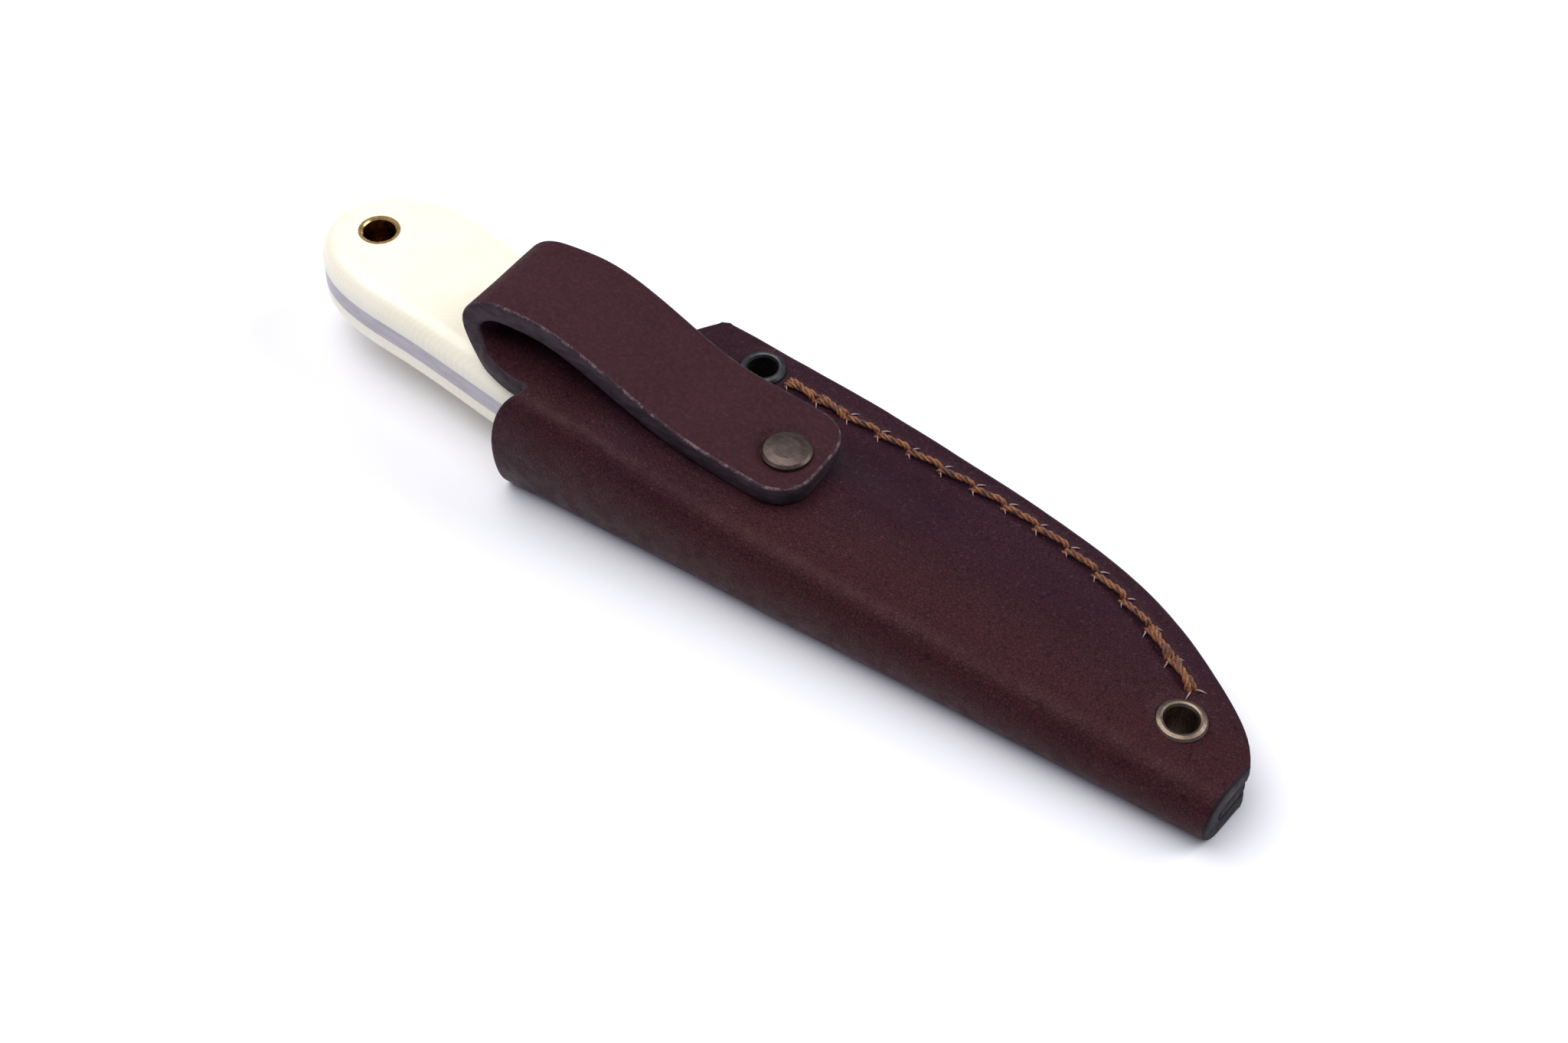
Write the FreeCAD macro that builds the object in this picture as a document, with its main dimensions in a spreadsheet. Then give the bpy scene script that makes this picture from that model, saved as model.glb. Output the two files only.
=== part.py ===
import FreeCAD, Part

import math
import os

import Sketcher
from FreeCAD import Placement, Rotation, Vector

# A small full-tang whittling knife pushed into its folded leather sheath, millimetres.
# The sheath lies on its flat front with the belt loop on top: +Z is up, +X runs from the
# handle's butt to the sheath's tip, -Y is the folded side and +Y the stitched side.
# The origin is the centre of the whole object's footprint.

doc = FreeCAD.newDocument("whittling_knife")

# ---------------------------------------------------------------- driving dimensions

DIMENSIONS = {
    # leather
    "leather_thickness": 3.1,
    "seam_height": 9.6,
    "seam_height_tip": 8.4,
    "tip_end": 76.5,
    "seam_side": 19.8,
    "fold_side": -18.55,
    "tip_slant": 1.3,
    "fold_depth": 4.2,
    "crown_mouth": 18.5,
    "crown_guard": 14.6,
    "crown_blade": 12.9,
    "crown_tip": 8.5,
    "welt_width": 8.2,
    # belt loop
    "loop_top": 24.8,
    "loop_fold": -41.5,
    "loop_end": 10.5,
    "loop_corner": 5.5,
    # seam
    "stitch_holes": 15,
    "thread_radius": 0.42,
    "thread_play": 0.06,
    # eyelets and rivet
    "eyelet_bore": 2.15,
    "eyelet_barrel": 2.55,
    "eyelet_flange": 3.35,
    "eyelet_seat": 0.35,
    "eyelet_plate": 0.6,
    "upper_eyelet_along": -10.15,
    "upper_eyelet_across": 14.5,
    "lower_eyelet_along": 66.5,
    "lower_eyelet_across": -8.3,
    "rivet_along": 5.35,
    "rivet_across": -2.95,
    "rivet_radius": 3.45,
    "rivet_post": 1.25,
    "rivet_plate": 0.9,
    # knife
    "knife_tilt": 2.75,
    "knife_rise": 7.95,
    "tang_thickness": 3.0,
    "scale_thickness": 4.2,
    "scale_round": 2.8,
    "scale_front": 1.2,
    "guard_line": -6.0,
    "blade_back": -13.9,
    "blade_edge": 4.1,
    "blade_point": 61.0,
    "bevel_width": 5.5,
    "edge_land": 0.1,
    "lanyard_along": -68.5,
    "lanyard_across": 1.6,
    "lanyard_outer": 3.05,
    "lanyard_bore": 2.4,
    "pin_radius": 2.0,
    "rear_pin_along": -36.0,
    "rear_pin_across": -1.6,
    "front_pin_along": -15.0,
    "front_pin_across": -4.2,
}

sheet = doc.addObject("Spreadsheet::Sheet", "dimensions")
for row, (name, value) in enumerate(DIMENSIONS.items(), start=1):
    sheet.set(f"A{row}", name)
    sheet.set(f"B{row}", str(value))
    sheet.setAlias(f"B{row}", name)
doc.recompute()


def size(name):
    """One driving dimension, read from the sheet."""
    return float(sheet.get(name))


def bind(feature, prop, formula):
    """Tie a feature's property to cells of the sheet, written as names of dimensions."""
    for name in sorted(DIMENSIONS, key=len, reverse=True):
        formula = formula.replace(f"[{name}]", f"dimensions.{name}")
    feature.setExpression(prop, formula)


LEATHER = size("leather_thickness")
HALF_TANG = size("tang_thickness") / 2
KNIFE_TURN = Rotation(Vector(0, 1, 0), size("knife_tilt"))

# ---------------------------------------------------------------- curves and prisms


def spline(points, start=None, finish=None):
    """A smooth curve through points, with optional end directions."""
    curve = Part.BSplineCurve()
    if start is None:
        curve.interpolate([Vector(*p) for p in points])
    else:
        curve.interpolate(
            Points=[Vector(*p) for p in points],
            InitialTangent=Vector(*start),
            FinalTangent=Vector(*finish),
        )
    return curve


def line(first, last):
    return Part.LineSegment(Vector(*first), Vector(*last))


def flat(points):
    """Plan points (x, y) as points of space on z = 0."""
    return [(x, y, 0) for x, y in points]


def prism(curves, low, high):
    """A straight prism along Z on a closed plan outline."""
    wire = Part.Wire([curve.toShape() for curve in curves])
    face = Part.Face(wire)
    solid = face.extrude(Vector(0, 0, high - low))
    solid.translate(Vector(0, 0, low))
    return solid


def inward(curve, inset, share):
    """The point at a share of a plan curve's length, moved sideways towards the fold."""
    length = curve.length()
    at = curve.parameterAtDistance(share * length, curve.FirstParameter)
    tangent = curve.tangent(at)[0]
    point = curve.value(at)
    return (point.x + inset * tangent.y, point.y - inset * tangent.x)


# ---------------------------------------------------------------- the sheath's outline

MOUTH_CORNER = (-20.5, 19.1)
SEAM_START = (-19.2, size("seam_side"))
SEAM_END = (size("tip_end") - 0.9, -7.9)
TIP_CORNER = (size("tip_end"), -9.8)
BEYOND_FOLD = size("fold_side") - 2
TIP_AT_FOLD = (size("tip_end") - size("tip_slant"), BEYOND_FOLD)

SEAM_POINTS = [
    SEAM_START,
    (-9.9, 18.95),
    (6.4, 17.25),
    (22.5, 14.85),
    (38.1, 12.1),
    (48.4, 9.6),
    (59.6, 5.05),
    (68.5, -0.8),
    SEAM_END,
]
seam_edge = spline(flat(SEAM_POINTS))

# The mouth's slanted edge from the fold to its far corner, below and above: the front
# panel reaches a little further out at the fold than the back panel.
FRONT_MOUTH = [(-33.1, -15.5), (-31.2, -5.0), (-27.6, 5.0), (-22.9, 15.6), MOUTH_CORNER]
BACK_MOUTH = [(-29.3, -15.0), (-26.9, -4.5), (-24.8, 6.0), (-22.9, 15.6), MOUTH_CORNER]
FRONT_FOLD_START = (-32.2, BEYOND_FOLD)
BACK_FOLD_START = (-34.15, BEYOND_FOLD)
OUTLINE_TOP = 20.0


def sheath_outline(fold_start, mouth, height):
    """Outline at one height: mouth, curved seam edge, cut tip, straight beyond the fold."""
    curves = [
        line(*flat([fold_start, mouth[0]])),
        spline(flat(mouth)),
        spline(flat([MOUTH_CORNER, (-20.0, 19.6), SEAM_START])),
        seam_edge,
        line(*flat([SEAM_END, TIP_CORNER])),
        line(*flat([TIP_CORNER, TIP_AT_FOLD])),
        line(*flat([TIP_AT_FOLD, fold_start])),
    ]
    wire = Part.Wire([curve.toShape() for curve in curves])
    wire.translate(Vector(0, 0, height))
    return wire


def outline_block():
    """Everything inside the outline, from the flat underside up."""
    below = sheath_outline(FRONT_FOLD_START, FRONT_MOUTH, 0)
    above = sheath_outline(BACK_FOLD_START, BACK_MOUTH, OUTLINE_TOP)
    return Part.makeLoft([below, above], True, True)


# ---------------------------------------------------------------- the folded leather

FAR_SIDE = 26.0
FLOOR = -1.0
CEILING = 32.0

# Shape of the folded leather along the sheath:
# along, fold side, crown height, crown's far limit, seam flat's inner limit, seam height
STATIONS = [
    (-44, -18.7, size("crown_mouth"), 7.5, 14.5, size("seam_height")),
    (-28, -18.65, size("crown_mouth"), 7.5, 14.5, size("seam_height")),
    (-16, -18.55, 16.8, 7.2, 12.8, size("seam_height")),
    (-5, -18.45, size("crown_guard"), 4.6, 11.4, size("seam_height")),
    (12, size("fold_side"), size("crown_blade"), 2.0, 9.6, size("seam_height")),
    (30, size("fold_side"), 11.8, 0.0, 7.0, size("seam_height")),
    (50, -18.6, 10.6, -4.0, 1.2, 9.3),
    (66, -18.65, 9.3, -11.0, -6.0, 8.8),
    (82, -18.65, size("crown_tip"), -13.0, -9.0, size("seam_height_tip")),
]
SECTION_STEP = 9
UNDERSIDE_TRIM = 0.3


def station(along):
    """The folded leather's shape at any distance along, straight between stations."""
    for near, far in zip(STATIONS, STATIONS[1:]):
        if near[0] <= along <= far[0]:
            share = (along - near[0]) / (far[0] - near[0])
            return [first + share * (last - first) for first, last in zip(near, far)]
    raise ValueError(along)


def crown_at(along):
    return station(along)[2]


def seam_top(along):
    return station(along)[5]


def slope_share(y, crown_limit, seam_limit):
    """How far up the leather is at y: 1 on the crown, 0 on the seam's flat."""
    share = (seam_limit - y) / (seam_limit - crown_limit)
    return min(1.0, max(0.0, share))


def section_wire(along, inset):
    """The closed cross-section of the folded leather, or of the space inside it.

    The outer one reaches a little below the flat underside, where it is cut level.
    """
    _, fold_side, crown, crown_limit, seam_limit, seam = station(along)
    rise = crown - seam
    span = seam_limit - crown_limit
    across = [FAR_SIDE, seam_limit + 4]
    across += [seam_limit - span * i / 8 for i in range(9)]
    ridge = fold_side + size("fold_depth")
    across += [crown_limit + (ridge - crown_limit) * i / 5 for i in range(1, 5)]
    points = []
    for y in across:
        share = slope_share(y, crown_limit, seam_limit)
        height = seam + rise * share * share * (3 - 2 * share)
        gradient = 6 * share * (1 - share) * rise / span
        points.append((along, y, height - inset * math.hypot(1, gradient)))
    low = inset if inset > 0 else -UNDERSIDE_TRIM
    middle = (crown - inset + low) / 2
    radius = (crown - inset - low) / 2
    depth = size("fold_depth")
    for i in range(9):
        angle = math.pi * i / 8
        y = fold_side + depth - (depth - inset) * math.sin(angle)
        points.append((along, y, middle + radius * math.cos(angle)))
    top = spline(points, start=(0, -1, 0), finish=(0, 1, 0))
    far_low = (along, FAR_SIDE, low)
    return Part.Wire(
        [
            top.toShape(),
            line(points[-1], far_low).toShape(),
            line(far_low, points[0]).toShape(),
        ]
    )


def folded_form(inset):
    """The solid swept through the cross-sections."""
    first = STATIONS[0][0]
    last = STATIONS[-1][0]
    places = range(first, last + 1, SECTION_STEP)
    return Part.makeLoft([section_wire(along, inset) for along in places], True, False)


def keep(name, shape):
    """A helper form of the document, not a sub-part."""
    feature = doc.addObject("Part::Feature", name)
    feature.Shape = shape
    return feature


def boolean(kind, name, base, tool):
    feature = doc.addObject(kind, name)
    feature.Base = base
    feature.Tool = tool
    return feature


outer_form = keep("outer_form", folded_form(0.0))
inner_form = keep("inner_form", folded_form(LEATHER))
outline_form = keep("outline_form", outline_block())


# ---------------------------------------------------------------- the belt loop

HALF_LEATHER = LEATHER / 2
LOOP_TOP = size("loop_top")
LOOP_FOLD = size("loop_fold")

# The loop's middle line seen from the fold side, (x, z): out of the mouth over the handle,
# up round the fold, and back down on to the panel.
LOOP_TURN = (LOOP_FOLD, 20.9)
LOWER_LEG = [(-20.0, 15.6), (-24.0, 16.6), (-30.0, 16.98), (-36.5, 17.2), (-40.0, 18.2), LOOP_TURN]
UPPER_LEG = [
    (-39.6, 23.7),
    (-35.0, LOOP_TOP),
    (-29.5, LOOP_TOP - 0.1),
    (-22.0, 22.4),
    (-14.0, 18.9),
    (-7.0, 16.5),
    (-1.0, 15.62),
    (6.0, 14.95),
    (12.8, 14.3),
]
LOOP_BLANK_FAR = 14.0
LOOP_BLANK_NEAR = -16.0
LOOP_FOLD_NEAR = -9.7
LOOP_FOLD_FAR = 5.3
BEYOND_LOOP = LOOP_FOLD - 4
loop_middle = spline([(x, 0, z) for x, z in LOWER_LEG + UPPER_LEG])


def strap(first, last):
    """A leather strip of even thickness along the loop's middle line between two parameters."""
    sides = {1: [], -1: []}
    count = 30
    for i in range(count + 1):
        at = first + (last - first) * i / count
        tangent = loop_middle.tangent(at)[0]
        point = loop_middle.value(at)
        for side in sides:
            offset = side * HALF_LEATHER
            across = (point.x - offset * tangent.z, LOOP_BLANK_FAR, point.z + offset * tangent.x)
            sides[side].append(across)
    wire = Part.Wire(
        [
            spline(sides[1]).toShape(),
            line(sides[1][-1], sides[-1][-1]).toShape(),
            spline(sides[-1]).toShape(),
            line(sides[-1][0], sides[1][0]).toShape(),
        ]
    )
    return Part.Face(wire).extrude(Vector(0, LOOP_BLANK_NEAR - LOOP_BLANK_FAR, 0))


def lower_leg_outline():
    """Plan of the leg at the mouth: it flares from the strap's width to the panel's."""
    near = [(BEYOND_LOOP, LOOP_FOLD_NEAR), (-41.0, -10.4), (-37.5, -12.2), (-34.0, -13.1), (-30.0, -13.6)]
    far = [(-18.6, 7.2), (-24.0, 6.6), (-34.0, 5.8), (BEYOND_LOOP, LOOP_FOLD_FAR)]
    inside_near = (-21.0, near[-1][1])
    return [
        spline(flat(near)),
        line(*flat([near[-1], inside_near])),
        line(*flat([inside_near, far[0]])),
        spline(flat(far)),
        line(*flat([far[-1], near[0]])),
    ]


def upper_leg_outline():
    """Plan of the strap: nearly parallel sides and a round-cornered end."""
    near_side = -10.2
    far_side = 6.0
    end = size("loop_end")
    corner = size("loop_corner")
    turn = corner * (1 - math.sqrt(0.5))
    near_arc = Part.Arc(
        Vector(end - corner, near_side, 0),
        Vector(end - turn, near_side + turn, 0),
        Vector(end, near_side + corner, 0),
    )
    far_arc = Part.Arc(
        Vector(end, far_side - corner, 0),
        Vector(end - turn, far_side - turn, 0),
        Vector(end - corner, far_side, 0),
    )
    near = [(BEYOND_LOOP, LOOP_FOLD_NEAR), (-25.0, -9.65), (-8.0, -9.85), (end - corner, near_side)]
    far = [(end - corner, far_side), (-10.0, 6.0), (-27.0, 6.2), (BEYOND_LOOP, LOOP_FOLD_FAR)]
    return [
        spline(flat(near)),
        near_arc,
        line(*flat([(end, near_side + corner), (end, far_side - corner)])),
        far_arc,
        spline(flat(far)),
        line(*flat([far[-1], near[0]])),
    ]


def loop_shape():
    turn = loop_middle.parameter(Vector(LOOP_TURN[0], 0, LOOP_TURN[1]))
    lower = strap(loop_middle.FirstParameter, turn)
    upper = strap(turn, loop_middle.LastParameter)
    lower = lower.common(prism(lower_leg_outline(), 0, CEILING))
    upper = upper.common(prism(upper_leg_outline(), 0, CEILING))
    return lower.fuse(upper)


loop_form = keep("loop_form", loop_shape())

# ---------------------------------------------------------------- holes of the sheath

def rod(name, radius, height, along, across, base):
    """A vertical cylinder of the document; every size is a formula of dimensions."""
    feature = doc.addObject("Part::Cylinder", name)
    bind(feature, "Radius", radius)
    bind(feature, "Height", height)
    bind(feature, "Placement.Base.x", along)
    bind(feature, "Placement.Base.y", across)
    bind(feature, "Placement.Base.z", base)
    return feature


def eyelet_cut(side):
    """Barrel hole through all layers, a seat for the flange and one for the washer."""
    along = f"[{side}_eyelet_along]"
    across = f"[{side}_eyelet_across]"
    seat_top = seam_top(size(f"{side}_eyelet_along")) - size("eyelet_seat")
    hole = rod(f"{side}_hole", "[eyelet_barrel] + 0.02", "34", along, across, "-2")
    seat = rod(f"{side}_seat", "[eyelet_flange] + 0.05", "8", along, across, str(seat_top))
    recess = rod(f"{side}_recess", "[eyelet_flange] + 0.05", "2 + [eyelet_plate] + 0.1", along, across, "-2")
    return [hole, seat, recess]


def strap_top(along):
    """Height of the strap's upper face above the rivet."""
    near, far = UPPER_LEG[-3], UPPER_LEG[-2]
    share = (along - near[0]) / (far[0] - near[0])
    return near[1] + share * (far[1] - near[1]) + HALF_LEATHER


RIVET_SEAT = strap_top(size("rivet_along")) - 0.35
RIVET_FOOT = crown_at(size("rivet_along")) - LEATHER + size("rivet_plate") - 0.15


def rivet_cut():
    """Post hole through strap and panel, with a flat seat above and a recess below."""
    place = ("[rivet_along]", "[rivet_across]")
    hole = rod("rivet_hole", "[rivet_post] + 0.02", "9", *place, "8")
    seat = rod("rivet_seat", "[rivet_radius] + 0.05", "6", *place, str(RIVET_SEAT))
    recess = rod("rivet_recess", "[rivet_radius] + 0.05", "3", *place, str(RIVET_FOOT - 3))
    return [hole, seat, recess]


# ---------------------------------------------------------------- the stitching

stitch_line = spline(flat([(-5.85, 13.97), (20.4, 11.5), (42.2, 8.1), (56.5, 2.4), (65.4, -3.2)]))
THREAD_SIDE = 0.5
AWL_RADIUS = 1.0
THREAD_BEND = 0.6
LOWER_GROOVE_RADIUS = 0.62
LOWER_GROOVE_DROP = 0.18


def stitch_places():
    """Each awl hole's plan point and the direction across the seam there."""
    count = int(size("stitch_holes"))
    places = []
    for i in range(count):
        distance = stitch_line.length() * i / (count - 1)
        at = stitch_line.parameterAtDistance(distance, stitch_line.FirstParameter)
        tangent = stitch_line.tangent(at)[0]
        places.append((stitch_line.value(at), Vector(-tangent.y, tangent.x, 0)))
    return places


def thread_route(side):
    """Corners of one of the two threads: above one stitch, below the next, and so on."""
    corners = []
    above = side > 0
    for point, across in stitch_places():
        place = point + across * side * THREAD_SIDE
        low = Vector(place.x, place.y, size("thread_radius") + 0.1)
        high = Vector(place.x, place.y, seam_top(place.x) + 0.08)
        corners += [low, high] if above else [high, low]
        above = not above
    return corners


def rounded_wire(corners, bend):
    """Straight runs through the corners, joined by tangent arcs."""
    edges = []
    start = corners[0]
    for before, corner, after in zip(corners, corners[1:], corners[2:]):
        back = (before - corner).normalize() * bend
        ahead = (after - corner).normalize() * bend
        middle = corner + (back + ahead) * (1 - math.sqrt(0.5))
        edges.append(Part.LineSegment(start, corner + back).toShape())
        edges.append(Part.Arc(corner + back, middle, corner + ahead).toShape())
        start = corner + ahead
    edges.append(Part.LineSegment(start, corners[-1]).toShape())
    return Part.Wire(edges)


def thread_tube(side, radius):
    """One waxed thread of the saddle stitch, a round tube along its route."""
    corners = thread_route(side)
    path = rounded_wire(corners, THREAD_BEND)
    run = corners[1] - corners[0]
    end = Part.Wire([Part.Circle(corners[0], run, radius).toShape()])
    return path.makePipeShell([end], True, False)


threads = [thread_tube(side, size("thread_radius")) for side in (1, -1)]
seam_thread = keep("seam_thread", Part.makeCompound(threads))


def awl_holes():
    """A round hole through all layers at each stitch, wide enough for both threads."""
    holes = []
    for point, _ in stitch_places():
        holes.append(Part.makeCylinder(AWL_RADIUS, CEILING, Vector(point.x, point.y, FLOOR)))
    return Part.makeCompound(holes)


def stitch_grooves():
    """The shallow channels that the threads lie in, above and below."""
    above_radius = size("thread_radius") + size("thread_play")
    grooves = []
    for side in (1, -1):
        corners = thread_route(side)[1:-1]
        for first, last in zip(corners[0::2], corners[1::2]):
            run = (last - first).normalize()
            start = first + run * THREAD_SIDE
            length = first.distanceToPoint(last) - 2 * THREAD_SIDE
            radius = above_radius
            if first.z < seam_top(first.x) / 2:
                radius = LOWER_GROOVE_RADIUS
                start.z -= LOWER_GROOVE_DROP
            grooves.append(Part.makeCylinder(radius, length, start, run))
    return Part.makeCompound(grooves)


awl_form = keep("awl_form", awl_holes())
groove_form = keep("groove_form", stitch_grooves())


# ---------------------------------------------------------------- leather and welt


def welt_outline():
    """Plan of the filler strip: along the seam edge, and right across the tip."""
    inner_points = [inward(seam_edge, size("welt_width"), i / 12) for i in range(11)]
    start = inner_points[0]
    finish = inner_points[-1]
    far = size("tip_end") + 4
    tip_fill = size("blade_point") + 1.0
    corners = [
        finish,
        (tip_fill, finish[1] - 3.0),
        (tip_fill, BEYOND_FOLD),
        (far, BEYOND_FOLD),
        (far, FAR_SIDE),
        (start[0] - 4, FAR_SIDE),
        (start[0] - 4, start[1] + 0.5),
        start,
    ]
    sides = [line(*flat(pair)) for pair in zip(corners, corners[1:])]
    return [spline(flat(inner_points))] + sides


welt_form = keep("welt_form", prism(welt_outline(), FLOOR, CEILING))

cuts = eyelet_cut("upper") + eyelet_cut("lower") + rivet_cut()
sheath_cuts = doc.addObject("Part::MultiFuse", "sheath_cuts")
sheath_cuts.Shapes = cuts

folded = boolean("Part::Common", "folded", outer_form, outline_form)
pocketed = boolean("Part::Cut", "pocketed", folded, inner_form)
with_loop = boolean("Part::Fuse", "with_loop", pocketed, loop_form)


def pierced(name, blank):
    """A layer with its eyelet, rivet and stitch holes."""
    drilled = boolean("Part::Cut", f"{name}_drilled", blank, sheath_cuts)
    awled = boolean("Part::Cut", f"{name}_awled", drilled, awl_form)
    return boolean("Part::Cut", name, awled, groove_form)


sheath_leather = pierced("sheath_leather", with_loop)
welt_layer = boolean("Part::Common", "welt_layer", inner_form, outline_form)
welt_blank = boolean("Part::Common", "welt_blank", welt_layer, welt_form)
welt = pierced("welt", welt_blank)

# ---------------------------------------------------------------- turned fittings


def plane_of(body, role):
    for feature in body.Origin.OriginFeatures:
        if feature.Role == role:
            return feature
    raise ValueError(role)


def sketch_on(body, role, name):
    sketch = body.newObject("Sketcher::SketchObject", name)
    sketch.AttachmentSupport = (plane_of(body, role), [""])
    sketch.MapMode = "FlatFace"
    return sketch


def turned(name, profile):
    """A PartDesign body turned about its own Z axis from a closed (radius, height) profile."""
    body = doc.addObject("PartDesign::Body", name)
    sketch = sketch_on(body, "XZ_Plane", f"{name}_profile")
    ends = profile[1:] + profile[:1]
    for first, last in zip(profile, ends):
        sketch.addGeometry(Part.LineSegment(Vector(*first, 0), Vector(*last, 0)), False)
    for i in range(len(profile)):
        sketch.addConstraint(Sketcher.Constraint("Coincident", i, 2, (i + 1) % len(profile), 1))
    turn = body.newObject("PartDesign::Revolution", f"{name}_turn")
    turn.Profile = sketch
    turn.ReferenceAxis = (sketch, ["V_Axis"])
    turn.Angle = 360
    body.Tip = turn
    return body


def place(body, along, across, height):
    """Stand a turned fitting at its place; along and across are formulas of dimensions."""
    bind(body, "Placement.Base.x", along)
    bind(body, "Placement.Base.y", across)
    bind(body, "Placement.Base.z", str(height))
    return body


def eyelet_bodies(side):
    """A flanged tube through the layers and the washer that it is curled over below."""
    along = f"[{side}_eyelet_along]"
    across = f"[{side}_eyelet_across]"
    top = seam_top(size(f"{side}_eyelet_along")) - size("eyelet_seat")
    bore = size("eyelet_bore")
    barrel = size("eyelet_barrel")
    flange = size("eyelet_flange")
    plate = size("eyelet_plate")
    curl = 0.28
    floor = 0.08
    tube = [
        (bore, floor + curl),
        (bore + 0.15, floor),
        (barrel + curl, floor),
        (barrel + curl, floor + curl),
        (barrel, floor + curl),
        (barrel, top),
        (flange, top),
        (flange, top + 0.3),
        (flange - 0.25, top + 0.62),
        (barrel + 0.1, top + 0.78),
        (bore + 0.2, top + 0.7),
        (bore, top + 0.35),
    ]
    ring = [
        (barrel, floor + curl),
        (flange, floor + curl),
        (flange, plate + 0.1),
        (barrel, plate + 0.1),
    ]
    eyelet = place(turned(f"{side}_eyelet", tube), along, across, 0)
    washer = place(turned(f"{side}_eyelet_washer", ring), along, across, 0)
    return [eyelet, washer]


def rivet_bodies():
    """Two-part rivet: a domed cap with the post above, a flat cap round its end inside."""
    radius = size("rivet_radius")
    post = size("rivet_post")
    plate = size("rivet_plate")
    under = RIVET_SEAT
    foot = RIVET_FOOT - plate
    cap = [
        (0, foot + 0.3),
        (post, foot + 0.3),
        (post, under),
        (radius, under),
        (radius, under + 0.5),
        (radius - 0.35, under + 0.85),
        (radius * 0.55, under + 1.05),
        (0, under + 1.12),
    ]
    base = [
        (0, foot),
        (radius - 0.3, foot),
        (radius, foot + 0.25),
        (radius, RIVET_FOOT),
        (post, RIVET_FOOT),
        (post, foot + 0.3),
        (0, foot + 0.3),
    ]
    spot = ("[rivet_along]", "[rivet_across]", 0)
    return [place(turned("rivet_cap", cap), *spot), place(turned("rivet_base", base), *spot)]


# ---------------------------------------------------------------- the knife

# Plan outline of the handle in the knife's own plane, from the guard round the butt.
BACK_GUARD = (size("guard_line"), size("blade_back"))
BELLY_GUARD = (size("guard_line") - 1.5, 3.6)
HANDLE_BACK = [BACK_GUARD, (-20.0, -13.9), (-36.8, -12.4), (-55.8, -10.1), (-68.5, -8.2)]
HANDLE_BUTT = [HANDLE_BACK[-1], (-74.6, -4.2), (-76.45, 2.2), (-73.6, 8.4), (-67.2, 12.1)]
HANDLE_BELLY = [HANDLE_BUTT[-1], (-57.5, 12.3), (-44.0, 9.6), (-28.0, 7.2), (-15.0, 5.1), BELLY_GUARD]
handle_side = spline(flat(HANDLE_BACK[:-1] + HANDLE_BUTT + HANDLE_BELLY[1:]))

EDGE_HEEL = (size("guard_line") + 3.5, size("blade_edge"))
POINT = (size("blade_point"), size("blade_back") + 0.4)
cutting_edge = spline(
    flat([EDGE_HEEL, (16.0, 4.15), (33.0, 3.9), (44.0, 1.9), (53.0, -3.0), (58.4, -8.4), POINT])
)


def blade_outline():
    """Full-tang outline: the handle's shape, a small choil, and a belly up to the point."""
    heel_low = (size("guard_line") + 3.5, 2.6)
    return [
        handle_side,
        line(*flat([BELLY_GUARD, heel_low])),
        line(*flat([heel_low, EDGE_HEEL])),
        cutting_edge,
        line(*flat([POINT, (POINT[0] - 1.2, size("blade_back"))])),
        line(*flat([(POINT[0] - 1.2, size("blade_back")), BACK_GUARD])),
    ]


def scale_outline():
    """The handle's outline closed by a slightly hollow front."""
    hollow = Part.Arc(
        Vector(*BELLY_GUARD, 0),
        Vector(size("guard_line") - 2.6, (BELLY_GUARD[1] + BACK_GUARD[1]) / 2, 0),
        Vector(*BACK_GUARD, 0),
    )
    return [handle_side, hollow]


HOLES = [
    ("lanyard", "lanyard_outer"),
    ("rear_pin", "pin_radius"),
    ("front_pin", "pin_radius"),
]


def add_holes(sketch):
    """Round holes for the lanyard tube and the pins, held by dimensions of the sheet."""
    for name, radius in HOLES:
        centre = Vector(size(f"{name}_along"), size(f"{name}_across"), 0)
        index = sketch.addGeometry(Part.Circle(centre, Vector(0, 0, 1), size(radius)), False)
        held = [
            ("Radius", f"{name}_hole_radius", (index, size(radius)), f"[{radius}]"),
            ("DistanceX", f"{name}_hole_along", (index, 3, centre.x), f"[{name}_along]"),
            ("DistanceY", f"{name}_hole_across", (index, 3, centre.y), f"[{name}_across]"),
        ]
        for kind, label, values, formula in held:
            number = sketch.addConstraint(Sketcher.Constraint(kind, *values))
            sketch.renameConstraint(number, label)
            bind(sketch, f"Constraints.{label}", formula)


def knife_body(name):
    """A body that lies in the knife's plane, tipped nose down inside the sheath."""
    body = doc.addObject("PartDesign::Body", name)
    body.Placement = Placement(Vector(0, 0, 0), KNIFE_TURN)
    bind(body, "Placement.Base.z", "[knife_rise]")
    return body


def plate_pad(body, outline, length, offset):
    """A plate cut to an outline, with its holes."""
    sketch = sketch_on(body, "XY_Plane", f"{body.Name}_outline")
    for curve in outline:
        sketch.addGeometry(curve, False)
    add_holes(sketch)
    bind(sketch, "AttachmentOffset.Base.z", offset)
    pad = body.newObject("PartDesign::Pad", f"{body.Name}_plate")
    pad.Profile = sketch
    bind(pad, "Length", length)
    doc.recompute()
    return pad


def edges_where(shape, test):
    return [f"Edge{i}" for i, edge in enumerate(shape.Edges, start=1) if test(edge)]


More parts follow.
